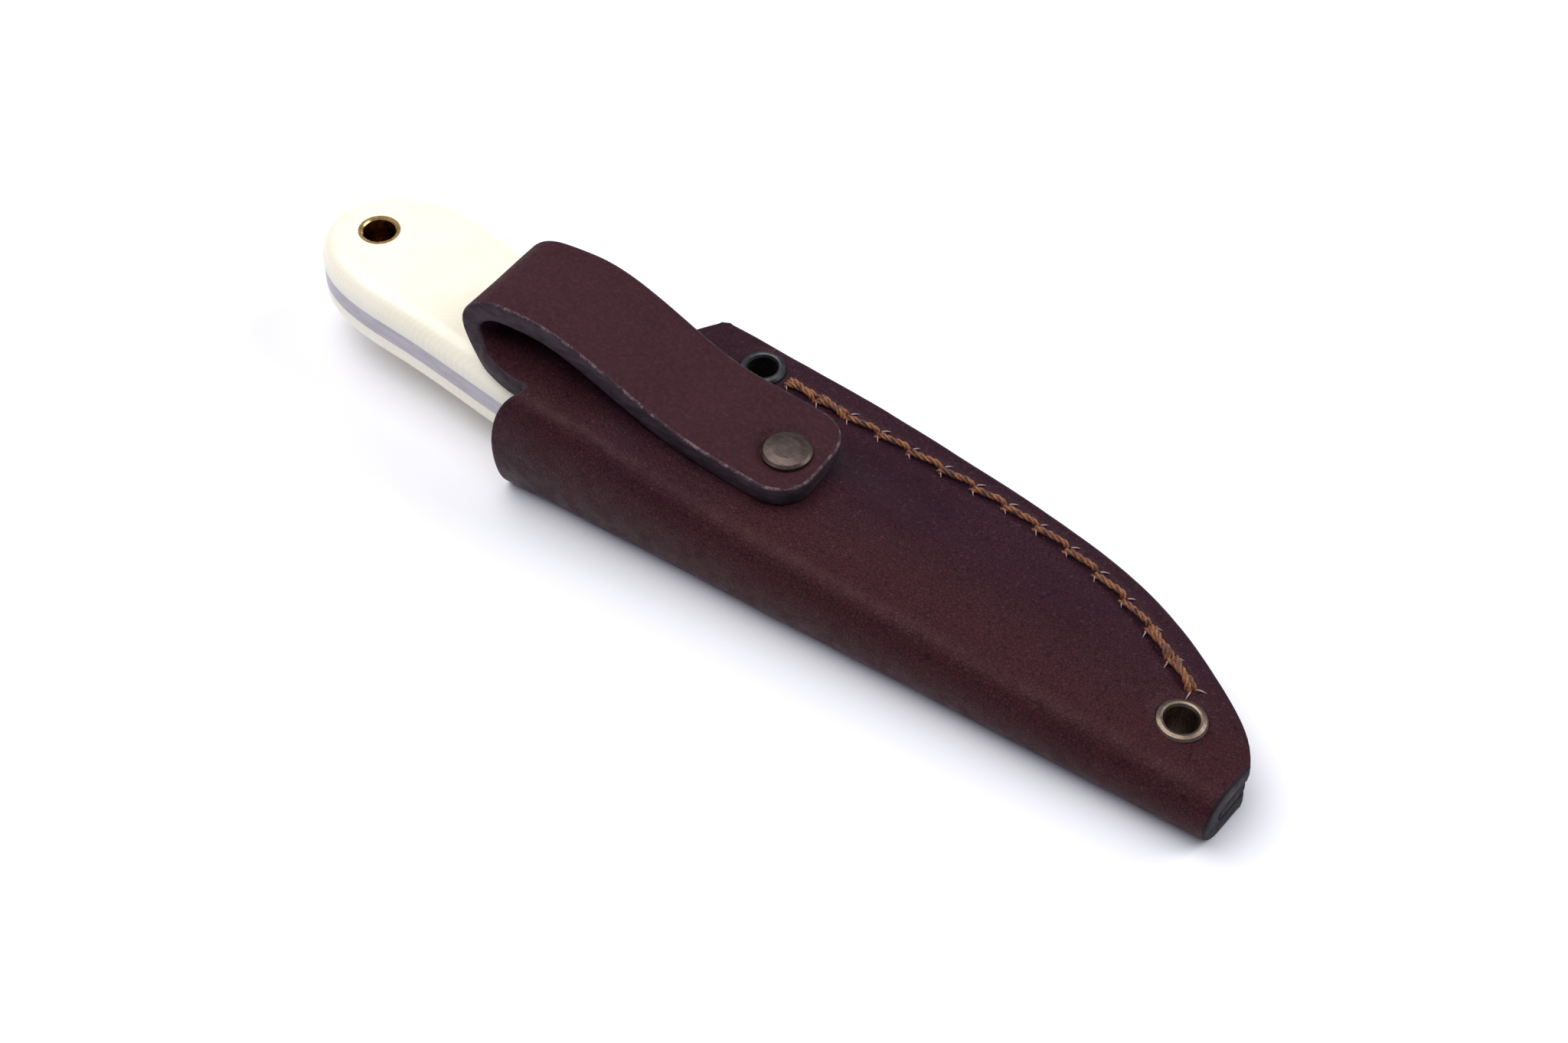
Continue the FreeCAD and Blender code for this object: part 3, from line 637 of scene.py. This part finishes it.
# ---------------------------------------------------------------- the welt

WELT_ROWS = 150
WELT_COLUMNS = 18
WELT_WIDTH = 8.2
WELT_EASE = 0.2
# Where the strip widens to fill the tip, and how far it then goes past the fold's ridge
WELT_FILL = (59.0, 63.0)
WELT_PAST_RIDGE = 0.9
# It follows the mouth's cut at this height, this far behind it
WELT_CUT_HEIGHT = 5.0
WELT_BEHIND_MOUTH = 0.3
# How far it stays within the panels: at the tip, at the seam edge and above and below
WELT_TIP_GAP = 0.12
WELT_EDGE_GAP = 0.1
WELT_GAP = 0.03
WELT_HALF_LEAST = 0.25


def welt_room(x, y):
    """Heights of the leather below and above the welt."""
    fold, crown, _, _, _ = station(x)
    ridge = fold + FOLD_DEPTH
    if y < ridge:
        half = crown / 2
        reach = FOLD_DEPTH - LEATHER
        bow = math.sqrt(max(0.0, 1 - ((ridge - y) / reach) ** 2))
        return half - (half - LEATHER) * bow, half + (half - LEATHER) * bow
    height, slope = panel_top(x, y)
    return LEATHER, height - LEATHER * math.hypot(1, slope)


def welt_point(row, column, above):
    """A point of the filler between the panels: a strip by the seam that fills the tip."""
    x = 0.0
    for _ in range(SETTLE_PASSES):
        edge = seam_side(x)
        ridge = station(x)[0] + FOLD_DEPTH
        fill = eased((x - WELT_FILL[0]) / (WELT_FILL[1] - WELT_FILL[0]))
        width = blend(WELT_WIDTH, edge - ridge + WELT_PAST_RIDGE, fill)
        y = edge - width * column / WELT_COLUMNS
        start = mouth_at(min(y, SEAM_START[1]), WELT_CUT_HEIGHT) + WELT_BEHIND_MOUTH
        x = blend(start, tip_at(y), row / WELT_ROWS)
    low, high = welt_room(x, y)
    middle = (low + high) / 2
    half = max(WELT_HALF_LEAST, (high - low) / 2 - WELT_GAP)
    z = middle + (half if above else -half)
    return np.array([x - WELT_TIP_GAP * eased(x - tip_at(y) + 1), y - WELT_EDGE_GAP * eased(1 - column), z])


def welt_sheet():
    """The filler strip between the panels."""
    skins = Skins()
    for row in range(WELT_ROWS + 1):
        for column in range(WELT_COLUMNS + 1):
            skins.add((row, column), welt_point(row, column, True), welt_point(row, column, False))
    return thick_sheet("seam_welt", skins, WELT_EASE)


# ---------------------------------------------------------------- holes through the layers


def prism_tool(name, outlines, reach):
    """A cutter: upright prisms on closed plan outlines, from one height to another."""
    low, high = reach
    mesh = bmesh.new()
    for outline in outlines:
        bottom = [mesh.verts.new((x * MM, y * MM, low * MM)) for x, y in outline]
        top = [mesh.verts.new((x * MM, y * MM, high * MM)) for x, y in outline]
        mesh.faces.new(list(reversed(bottom)))
        mesh.faces.new(top)
        for i in range(len(outline)):
            k = (i + 1) % len(outline)
            mesh.faces.new([bottom[i], bottom[k], top[k], top[i]])
    return finished(name, mesh)


SLIT_TURN = math.radians(-28)
SLIT_LONG = 1.2
SLIT_WIDE = 0.72
SLIT_FACETS = 12
EYELET_HOLE = 2.62
RIVET_HOLE = 1.3
HOLE_FACETS = 48
# Heights between which a tool cuts: all layers of the seam, and the strap with the panel below it
THROUGH_SEAM = (-2, 20)
THROUGH_STRAP = (8, 22)


def turned(way, angle):
    """A plan direction turned by an angle."""
    return np.array(
        [
            way[0] * math.cos(angle) - way[1] * math.sin(angle),
            way[0] * math.sin(angle) + way[1] * math.cos(angle),
        ]
    )


def slit_outline(place, across):
    """The slit of a diamond awl, in plan."""
    long_way = turned(across, SLIT_TURN)
    short_way = np.array([long_way[1], -long_way[0]])
    outline = []
    for i in range(SLIT_FACETS):
        angle = 2 * math.pi * i / SLIT_FACETS
        point = place + long_way * SLIT_LONG * math.cos(angle) + short_way * SLIT_WIDE * math.sin(angle)
        outline.append(tuple(point))
    return outline


def ring_outline(spot, radius):
    """A round hole, in plan."""
    angles = [2 * math.pi * i / HOLE_FACETS for i in range(HOLE_FACETS)]
    return [(spot[0] + radius * math.cos(a), spot[1] + radius * math.sin(a)) for a in angles]


def pierce(piece, tool):
    """Cut the tool's prisms out of a piece; the walls take the edge material."""
    cut = piece.modifiers.new("holes", "BOOLEAN")
    cut.operation = "DIFFERENCE"
    cut.solver = "EXACT"
    cut.object = tool
    cut.material_mode = "TRANSFER"
    view = bpy.context.evaluated_depsgraph_get()
    data = bpy.data.meshes.new_from_object(piece.evaluated_get(view))
    piece.modifiers.clear()
    piece.data = data


# ---------------------------------------------------------------- thread

PLIES = 3
PLY_RADIUS = 0.23
PLY_SIDES = 7
PLY_OFFSET = 0.25
PLY_SWELL = 0.3
SWELL_SIZE = 0.9
TWIST_PITCH = 3.3
THREAD_STEP = 0.3
THREAD_SWAY = 0.16
SWAY_SIZE = 1.3
SWAY_SEED = 7
STEEP = 0.9
# A run's shoulder, from the hole, and how far the thread goes down and bows up
RUN_SHOULDER = 0.62
OVER_DEPTH = 1.0
OVER_DIP = 0.02
OVER_LIFT = 0.1
OVER_BOW = 0.1
UNDER_DEPTH = 1.3
UNDER_DIP = 0.03
# The back stitches lie higher and further to the side
LOCK_SIDE = 1.2
LOCK_LIFT = 0.28
LOCK_BOW = 0.22


def seam_height(i):
    """Height of the seam's flat at an awl hole."""
    return station(STITCHES[i][0][0])[4]


def run(first, last, slant, hole_z, shoulder_z, middle_z):
    """Points of a thread between two holes."""
    (start, start_across), (finish, finish_across) = STITCHES[first], STITCHES[last]
    begin = start - start_across * slant
    end = finish + finish_across * slant
    along = unit(end - begin)
    return [
        (*begin, hole_z),
        (*(begin + along * RUN_SHOULDER), shoulder_z),
        (*((begin + end) / 2), middle_z),
        (*(end - along * RUN_SHOULDER), shoulder_z),
        (*end, hole_z),
    ]


def over(first, last, slant, height, bow):
    """A run on top of the leather."""
    return run(first, last, slant, height - OVER_DEPTH, height - OVER_DIP, height + bow)


def under(first, last):
    """A run below the leather."""
    return run(first, last, -THREAD_SIDE, THREAD_LOW + UNDER_DEPTH, THREAD_LOW + UNDER_DIP, THREAD_LOW)


def thread_path(starts_above):
    """One thread of the saddle stitch, over one gap and under the next."""
    points = []
    above = starts_above
    for i in range(STITCH_HOLES - 1):
        if above:
            points += over(i, i + 1, THREAD_SIDE, seam_height(i) + OVER_LIFT, OVER_BOW)
        else:
            points += under(i, i + 1)
        above = not above
    return Curve(points)


def locking_path(first):
    """A back stitch that lies beside the first thread at either end of the seam."""
    return Curve(over(first, first + 1, -THREAD_SIDE * LOCK_SIDE, seam_height(first) + LOCK_LIFT, LOCK_BOW))


def add_tube(mesh, rings):
    """Faces round a row of vertex rings and over its two ends."""
    sides = len(rings[0])
    for ring, after in zip(rings, rings[1:]):
        for k in range(sides):
            n = (k + 1) % sides
            mesh.faces.new([ring[k], ring[n], after[n], after[k]])
    mesh.faces.new(list(reversed(rings[0])))
    mesh.faces.new(rings[-1])


def ply_ring(mesh, centre, side, cross, turn, swell):
    """Vertices round one ply where the thread passes a centre."""
    core = centre + PLY_OFFSET * (math.cos(turn) * side + math.sin(turn) * cross)
    ring = []
    for k in range(PLY_SIDES):
        angle = 2 * math.pi * k / PLY_SIDES
        out = math.cos(angle) * side + math.sin(angle) * cross
        ring.append(mesh.verts.new(Vector(core + out * PLY_RADIUS * swell) * MM))
    return ring


def first_side(way):
    """A direction across the thread's start, which the twist is counted from."""
    if abs(way[2]) >= STEEP:
        return np.array([0.0, 1.0, 0.0])
    return np.cross(way, np.array([0.0, 0.0, 1.0]))


def add_twisted(mesh, path, phase):
    """Plies wound round a path."""
    count = int(path.length / THREAD_STEP)
    tubes = [[] for _ in range(PLIES)]
    side = first_side(path.way(0.0))
    for i in range(count + 1):
        distance = path.length * i / count
        centre = path.at(distance)
        sway = noise.noise(Vector(centre) / SWAY_SIZE + Vector((phase, SWAY_SEED, 0)))
        way = path.way(distance)
        side = unit(side - way * np.dot(side, way))
        cross = np.cross(way, side)
        centre = centre + side * THREAD_SWAY * sway
        for ply, tube in enumerate(tubes):
            turn = 2 * math.pi * (distance / TWIST_PITCH + ply / PLIES) + phase
            swell = 1 + PLY_SWELL * noise.noise(Vector(centre) / SWELL_SIZE + Vector((ply, phase, 0)))
            tube.append(ply_ring(mesh, centre, side, cross, turn, swell))
    for tube in tubes:
        add_tube(mesh, tube)


def thread_piece():
    """Both threads of the saddle stitch, and two back stitches at each end."""
    mesh = bmesh.new()
    add_twisted(mesh, thread_path(True), 0.0)
    add_twisted(mesh, thread_path(False), 2.0)
    for number, first in enumerate((0, 1, STITCH_HOLES - 3, STITCH_HOLES - 2)):
        add_twisted(mesh, locking_path(first), 1.0 + number)
    bmesh.ops.recalc_face_normals(mesh, faces=mesh.faces)
    return finished("saddle_thread", mesh)


FIBRE_TURNS = (math.radians(-45), math.radians(-140))
FIBRE_ROOT = 0.62
FIBRE_LONG = 1.2
FIBRE_VARIES = 0.35
FIBRE_WIDE = 0.15
FIBRE_BEND = 0.3
FIBRE_SUNK = 0.12
FIBRE_RISE = 0.22
FIBRE_STEPS = 6
FIBRE_SECTION = [(-1, -0.6), (1, -0.6), (0.7, 0.7), (-0.7, 0.7)]


def add_fibre(mesh, root, way, height, chance):
    """One torn fibre that rises from a slit's end and lies down again."""
    beside = np.array([way[1], -way[0]])
    length = FIBRE_LONG * (1 + FIBRE_VARIES * chance)
    rings = []
    for i in range(FIBRE_STEPS + 1):
        share = i / FIBRE_STEPS
        centre = root + way * length * share + beside * FIBRE_BEND * chance * share * share
        thick = FIBRE_WIDE * math.sqrt(1.04 - share) * (0.7 + 0.3 * math.sin(math.pi * share))
        z = height - FIBRE_SUNK + FIBRE_RISE * math.sin(math.pi * (0.25 + 0.6 * share))
        ring = []
        for wide, tall in FIBRE_SECTION:
            x, y = centre + beside * thick * wide
            ring.append(mesh.verts.new(Vector((x, y, z + thick * tall)) * MM))
        rings.append(ring)
    add_tube(mesh, rings)


def fibre_piece():
    """Pale fibres standing up at both ends of each awl slit."""
    mesh = bmesh.new()
    for number, (place, across) in enumerate(STITCHES):
        for side, angle in enumerate(FIBRE_TURNS):
            chance = noise.noise(Vector((number * 1.7, side * 3.1, 0.5)))
            way = turned(across, angle)
            add_fibre(mesh, place + way * FIBRE_ROOT, way, seam_height(number), chance)
    bmesh.ops.recalc_face_normals(mesh, faces=mesh.faces)
    return finished("slit_fibres", mesh)


# ---------------------------------------------------------------- materials


class Look:
    """A node material under construction, in the object's own coordinates."""

    def __init__(self, name):
        self.material = bpy.data.materials.new(name)
        self.material.use_nodes = True
        self.tree = self.material.node_tree
        self.shader = self.tree.nodes["Principled BSDF"]
        self.where = self.add("ShaderNodeTexCoord").outputs["Object"]

    def add(self, kind, **values):
        node = self.tree.nodes.new(kind)
        for key, value in values.items():
            setattr(node, key, value)
        return node

    def join(self, output, socket):
        self.tree.links.new(output, socket)

    def along(self, axis):
        """One coordinate of the point that is shaded."""
        node = self.add("ShaderNodeSeparateXYZ")
        self.join(self.where, node.inputs["Vector"])
        return node.outputs[axis]

    def stretched(self, scale, turn=0.0):
        node = self.add("ShaderNodeMapping")
        node.inputs["Scale"].default_value = scale
        node.inputs["Rotation"].default_value = (0, 0, turn)
        self.join(self.where, node.inputs["Vector"])
        return node.outputs["Vector"]

    def noise(self, scale, detail=3.0, rough=0.55, where=None, distort=0.0):
        node = self.add("ShaderNodeTexNoise")
        node.inputs["Scale"].default_value = scale
        node.inputs["Detail"].default_value = detail
        node.inputs["Roughness"].default_value = rough
        node.inputs["Distortion"].default_value = distort
        self.join(where or self.where, node.inputs["Vector"])
        return node.outputs["Fac"]

    def cells(self, scale):
        """Distance to the borders of a net of random cells."""
        node = self.add("ShaderNodeTexVoronoi", feature="DISTANCE_TO_EDGE")
        node.inputs["Scale"].default_value = scale
        self.join(self.where, node.inputs["Vector"])
        return node.outputs["Distance"]

    def ramp(self, value, low, high, out_low=0.0, out_high=1.0):
        node = self.add("ShaderNodeMapRange", interpolation_type="SMOOTHSTEP")
        node.inputs["From Min"].default_value = low
        node.inputs["From Max"].default_value = high
        node.inputs["To Min"].default_value = out_low
        node.inputs["To Max"].default_value = out_high
        self.join(value, node.inputs["Value"])
        return node.outputs["Result"]

    def maths(self, operation, first, second):
        node = self.add("ShaderNodeMath", operation=operation)
        for socket, value in zip(node.inputs, (first, second)):
            if isinstance(value, (int, float)):
                socket.default_value = value
            else:
                self.join(value, socket)
        return node.outputs["Value"]

    def mix(self, share, first, second):
        node = self.add("ShaderNodeMix", data_type="RGBA")
        self.join(share, node.inputs["Factor"])
        for key, value in (("A", first), ("B", second)):
            socket = [s for s in node.inputs if s.name == key and s.type == "RGBA"][0]
            if isinstance(value, tuple):
                socket.default_value = (*value, 1)
            else:
                self.join(value, socket)
        return [s for s in node.outputs if s.type == "RGBA"][0]

    def bump(self, height, depth, strength, below=None):
        node = self.add("ShaderNodeBump")
        node.inputs["Strength"].default_value = strength
        node.inputs["Distance"].default_value = depth * MM
        self.join(height, node.inputs["Height"])
        if below is not None:
            self.join(below, node.inputs["Normal"])
        return node.outputs["Normal"]

    def done(self, colour=None, rough=None, normal=None, **fixed):
        if colour is not None:
            self.join(colour, self.shader.inputs["Base Color"])
        if rough is not None:
            self.join(rough, self.shader.inputs["Roughness"])
        if normal is not None:
            self.join(normal, self.shader.inputs["Normal"])
        for key, value in fixed.items():
            self.shader.inputs[key.replace("_", " ")].default_value = value
        return self.material


# Across the sheath, where a painted sheen makes the leather lighter and redder towards the fold side
SHEEN_FROM = 4.0
SHEEN_TO = -13.0


def grain_leather():
    """Waxed oxblood leather, smooth side out."""
    look = Look("oxblood_grain")
    patches = look.ramp(look.noise(55, 4, 0.6), 0.3, 0.7)
    colour = look.mix(patches, (0.021, 0.0069, 0.0121), (0.0305, 0.0102, 0.0168))
    # Painted sheen: a lighter, redder colour towards the fold-side ridge, broken up by noise
    rubbed = look.ramp(look.along("Y"), SHEEN_FROM * MM, SHEEN_TO * MM)
    rubbed = look.maths("MULTIPLY", rubbed, look.ramp(look.noise(38, 3, 0.5), 0.25, 0.6))
    colour = look.mix(rubbed, colour, (0.042, 0.011, 0.013))
    specks = look.ramp(look.noise(1500, 2, 0.6), 0.52, 0.8)
    colour = look.mix(specks, colour, (0.062, 0.024, 0.028))
    pores = look.ramp(look.cells(1900), 0.0, 0.14)
    colour = look.mix(pores, (0.015, 0.0045, 0.008), colour)
    rough = look.ramp(look.noise(420, 4, 0.65), 0.3, 0.7, 0.4, 0.6)
    fine = look.bump(look.ramp(look.cells(1500), 0.0, 0.3), 0.03, 0.6)
    creases = look.bump(look.noise(520, 5, 0.6, distort=0.6), 0.045, 0.55, fine)
    return look.done(
        colour, rough, creases, Specular_IOR_Level=0.15, Specular_Tint=(1.0, 0.66, 0.68, 1.0)
    )


def flesh_leather():
    """The dyed flesh side: matt, redder, finely mottled, with a few scuffs."""
    look = Look("dyed_flesh_side")
    patches = look.ramp(look.noise(90, 5, 0.7), 0.3, 0.7)
    colour = look.mix(patches, (0.033, 0.011, 0.0145), (0.0425, 0.014, 0.0185))
    mottling = look.ramp(look.noise(1700, 4, 0.75), 0.4, 0.75)
    colour = look.mix(mottling, colour, (0.058, 0.021, 0.026))
    scuffs = look.ramp(look.noise(520, 6, 0.75, look.stretched((1, 2.2, 1), 0.5)), 0.7, 0.78)
    colour = look.mix(scuffs, colour, (0.13, 0.08, 0.078))
    rough = look.ramp(look.noise(700, 4, 0.6), 0.3, 0.7, 0.55, 0.75)
    fibres = look.bump(look.noise(1700, 5, 0.75), 0.07, 0.7)
    return look.done(colour, rough, fibres, Specular_IOR_Level=0.08)


# Along the sheath, where painted shade darkens the cut edges towards the tip
TIP_SHADE_FROM = 55.0
TIP_SHADE_TO = 68.0


def painted_edge(name, low, high):
    """Dark edge paint over the cut, burnished unevenly along the layers, with painted shade darkening it towards
    the tip.
    """
    look = Look(name)
    streaks = look.noise(700, 4, 0.65, look.stretched((0.5, 0.5, 1.4)))
    colour = look.mix(look.ramp(streaks, 0.35, 0.7), low, high)
    # Painted shade: the edge grows darker towards the tip
    thick = look.ramp(look.along("X"), TIP_SHADE_FROM * MM, TIP_SHADE_TO * MM, 0.0, 0.7)
    colour = look.mix(thick, colour, (0.009, 0.0065, 0.01))
    rough = look.ramp(look.noise(600, 3, 0.6), 0.3, 0.7, 0.45, 0.65)
    ridges = look.bump(streaks, 0.05, 0.5)
    return look.done(colour, rough, ridges, Specular_IOR_Level=0.08)


def worn_arris():
    """Edge paint rubbed through to pale fibre in an irregular line."""
    look = Look("worn_arris")
    worn = look.ramp(look.noise(800, 5, 0.7), 0.45, 0.64)
    tone = look.mix(look.noise(2400, 3), (0.07, 0.038, 0.042), (0.24, 0.165, 0.175))
    colour = look.mix(worn, (0.03, 0.014, 0.018), tone)
    rough = look.ramp(worn, 0.0, 1.0, 0.5, 0.85)
    rubbed = look.bump(look.noise(1800, 4, 0.7), 0.06, 0.7)
    return look.done(colour, rough, rubbed, Specular_IOR_Level=0.2)


def waxed_thread():
    """Tan waxed thread, darker and dirtier in places."""
    look = Look("tan_waxed_thread")
    fibres = look.noise(4200, 3, 0.7, distort=0.4)
    colour = look.mix(look.ramp(fibres, 0.3, 0.7), (0.12, 0.04, 0.0145), (0.37, 0.142, 0.056))
    dirt = look.ramp(look.noise(620, 4, 0.65), 0.44, 0.62)
    colour = look.mix(dirt, colour, (0.09, 0.033, 0.02))
    rough = look.ramp(fibres, 0.2, 0.8, 0.42, 0.66)
    strands = look.bump(fibres, 0.07, 0.7)
    return look.done(
        colour, rough, strands, Specular_IOR_Level=0.4, Sheen_Weight=0.1, Sheen_Roughness=0.4
    )


def pale_fibre():
    """Torn fibre at the awl slits."""
    look = Look("pale_cut_fibre")
    tone = look.noise(2600, 4, 0.7)
    colour = look.mix(tone, (0.13, 0.07, 0.07), (0.5, 0.38, 0.38))
    normal = look.bump(look.noise(3600, 3, 0.7), 0.05, 0.7)
    rough = look.ramp(tone, 0.2, 0.8, 0.6, 0.85)
    return look.done(colour, rough, normal)


def ivory():
    """Polished ivory-coloured scale with faint, fine, curved growth lines."""
    look = Look("ivory_scale")
    lines = look.add("ShaderNodeTexWave", wave_type="RINGS", rings_direction="Z", wave_profile="SIN")
    lines.inputs["Scale"].default_value = 420
    lines.inputs["Distortion"].default_value = 3.0
    lines.inputs["Detail"].default_value = 2.0
    lines.inputs["Detail Scale"].default_value = 0.5
    centre = look.add("ShaderNodeMapping")
    centre.inputs["Location"].default_value = (0.03, 0.035, 0)
    look.join(look.where, centre.inputs["Vector"])
    look.join(centre.outputs["Vector"], lines.inputs["Vector"])
    broken = look.maths("MULTIPLY", lines.outputs["Fac"], look.ramp(look.noise(150, 4, 0.6), 0.3, 0.7))
    clouds = look.ramp(look.noise(40, 3, 0.5), 0.3, 0.7)
    colour = look.mix(clouds, (0.92, 0.85, 0.67), (0.95, 0.89, 0.74))
    colour = look.mix(look.maths("MULTIPLY", broken, 0.5), colour, (0.87, 0.78, 0.58))
    rough = look.ramp(look.noise(900, 3, 0.6), 0.3, 0.7, 0.3, 0.42)
    fine = look.bump(look.noise(1600, 3, 0.6), 0.01, 0.4)
    return look.done(
        colour,
        rough,
        fine,
        Subsurface_Weight=0.25,
        Subsurface_Radius=(0.004, 0.0022, 0.0011),
        Subsurface_Scale=1.0,
        Coat_Weight=0.25,
        Coat_Roughness=0.25,
    )


def steel():
    """Satin ground steel with fine lines along the blade."""
    look = Look("satin_steel")
    scratches = look.noise(1200, 5, 0.7, look.stretched((0.05, 1.6, 1.6)))
    colour = look.mix(look.ramp(scratches, 0.3, 0.7), (0.32, 0.305, 0.34), (0.45, 0.43, 0.47))
    rough = look.ramp(scratches, 0.3, 0.75, 0.27, 0.45)
    lines = look.bump(scratches, 0.02, 0.5)
    return look.done(colour, rough, lines, Metallic=1.0)


def metal(name, tone, dull, low, high):
    """Brass with tarnish in patches and fine handling scratches."""
    look = Look(name)
    patches = look.ramp(look.noise(700, 5, 0.65), 0.35, 0.68)
    colour = look.mix(patches, tone, dull)
    scratch = look.noise(1500, 4, 0.7, look.stretched((0.3, 2.5, 1), 0.7))
    rough = look.ramp(scratch, 0.3, 0.7, low, high)
    marks = look.bump(scratch, 0.018, 0.6)
    return look.done(colour, rough, marks, Metallic=1.0)


# Depths below the tube's rim where the painted shade in the bore is full and where the brass is still bright
TUBE_FULL_SHADE = 2.4
TUBE_LIT = 0.5


def bright_tube():
    """Polished brass with painted shade that darkens it down the bore."""
    look = Look("tube_brass")
    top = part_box("lanyard_tube")[1].z
    lit = look.ramp(look.along("Z"), top - TUBE_FULL_SHADE * MM, top - TUBE_LIT * MM)
    patches = look.ramp(look.noise(700, 5, 0.65), 0.35, 0.68)
    tone = look.mix(patches, (0.85, 0.58, 0.2), (0.62, 0.38, 0.12))
    # Painted shade: dark brown down the bore
    colour = look.mix(lit, (0.16, 0.06, 0.016), tone)
    rough = look.ramp(look.noise(1500, 4, 0.7), 0.3, 0.7, 0.16, 0.3)
    return look.done(colour, rough, Metallic=1.0)


def dress(node, material):
    """Give a carried-over CAD node its material."""
    piece = nodes[node]
    if not piece.material_slots:
        piece.data.materials.append(material)
    for slot in piece.material_slots:
        slot.material = material


# ---------------------------------------------------------------- the pieces in place


hide = hide_sheet()
welt = welt_sheet()
eyelet_tool = prism_tool("eyelet_tool", [ring_outline(spot, EYELET_HOLE) for spot in EYELET_SPOTS], THROUGH_SEAM)
slit_tool = prism_tool("slit_tool", [slit_outline(*place) for place in STITCHES], THROUGH_SEAM)
rivet_tool = prism_tool("rivet_tool", [ring_outline(RIVET_SPOT, RIVET_HOLE)], THROUGH_STRAP)
tools = (eyelet_tool, slit_tool, rivet_tool)

edge_paint = painted_edge("edge_paint", (0.028, 0.0185, 0.0235), (0.056, 0.039, 0.047))
welt_paint = painted_edge("welt_paint", (0.008, 0.007, 0.01), (0.022, 0.02, 0.028))
for material in (grain_leather(), edge_paint, flesh_leather(), worn_arris()):
    hide.data.materials.append(material)
for material in (flesh_leather(), welt_paint, flesh_leather()):
    welt.data.materials.append(material)
for tool in tools:
    tool.data.materials.append(edge_paint)
    for piece in (hide, welt):
        pierce(piece, tool)
    bpy.data.objects.remove(tool)

thread = thread_piece()
thread.data.materials.append(waxed_thread())
fibres = fibre_piece()
fibres.data.materials.append(pale_fibre())

for piece in (hide, welt, thread, fibres):
    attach(piece, "sheath")
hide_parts("sheath_leather")
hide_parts("welt")
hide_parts("seam_thread")

dark_brass = metal("dark_brass", (0.085, 0.083, 0.088), (0.05, 0.047, 0.049), 0.38, 0.55)
antique_brass = metal("antique_brass", (0.235, 0.178, 0.135), (0.15, 0.112, 0.086), 0.32, 0.5)
rivet_brass = metal("rivet_brass", (0.13, 0.096, 0.083), (0.09, 0.066, 0.058), 0.36, 0.52)
bright_brass = metal("bright_brass", (0.85, 0.6, 0.22), (0.62, 0.4, 0.13), 0.16, 0.3)
blade_steel = steel()
scale_ivory = ivory()
for node in ("upper_eyelet", "upper_eyelet_washer"):
    dress(node, dark_brass)
for node in ("lower_eyelet", "lower_eyelet_washer"):
    dress(node, antique_brass)
for node in ("rivet_cap", "rivet_base"):
    dress(node, rivet_brass)
for node in ("rear_pin", "front_pin"):
    dress(node, bright_brass)
dress("lanyard_tube", bright_tube())
for node in ("back_scale", "front_scale"):
    dress(node, scale_ivory)
dress("blade", blade_steel)

# ---------------------------------------------------------------- floor, light and camera


FLOOR_REACH = 3.0
FLOOR_CELLS = 12
LAMP_COLOUR = (1.0, 0.985, 0.965)
CAMERA_PLACE = (0.11475, -0.1695, 0.2219)
CAMERA_DOWN = 47.7
CAMERA_TURN = 33.4


def floor_piece():
    """A broad sheet of white paper."""
    mesh = bmesh.new()
    bmesh.ops.create_grid(mesh, x_segments=FLOOR_CELLS, y_segments=FLOOR_CELLS, size=FLOOR_REACH)
    piece = finished("floor", mesh)
    look = Look("white_paper")
    colour = look.mix(look.noise(30, 3, 0.5), (0.9, 0.9, 0.92), (0.93, 0.93, 0.95))
    grain = look.bump(look.noise(900, 3), 0.01, 0.2)
    piece.data.materials.append(look.done(colour, normal=grain, Roughness=0.9))
    return piece


def soft_light(name, place, width, power):
    """A round lamp that faces the object."""
    data = bpy.data.lights.new(name, "AREA")
    data.shape = "DISK"
    data.size = width
    data.energy = power
    data.color = LAMP_COLOUR
    lamp = bpy.data.objects.new(name, data)
    bpy.context.scene.collection.objects.link(lamp)
    lamp.location = place
    lamp.rotation_mode = "QUATERNION"
    lamp.rotation_quaternion = (-Vector(place)).to_track_quat("-Z", "Y")


floor = floor_piece()

soft_light("left_light", (-0.3, -0.08, 0.85), 1.0, 8.3)
soft_light("right_light", (0.55, 0.5, 0.6), 0.6, 4.3)

world = bpy.data.worlds.new("studio")
world.use_nodes = True
backdrop = world.node_tree.nodes["Background"]
backdrop.inputs["Color"].default_value = (0.72, 0.76, 1.0, 1)
backdrop.inputs["Strength"].default_value = 0.34
bpy.context.scene.world = world
bpy.context.scene.view_settings.view_transform = "Standard"

camera_data = bpy.data.cameras.new("camera")
camera_data.lens = 50.1
camera_data.sensor_width = 36
camera_data.clip_start = 0.01
camera_data.clip_end = 20
camera = bpy.data.objects.new("camera", camera_data)
camera.location = CAMERA_PLACE
camera.rotation_euler = (math.radians(90 - CAMERA_DOWN), 0, math.radians(CAMERA_TURN))
bpy.context.scene.collection.objects.link(camera)
bpy.context.scene.camera = camera

bpy.context.view_layer.update()
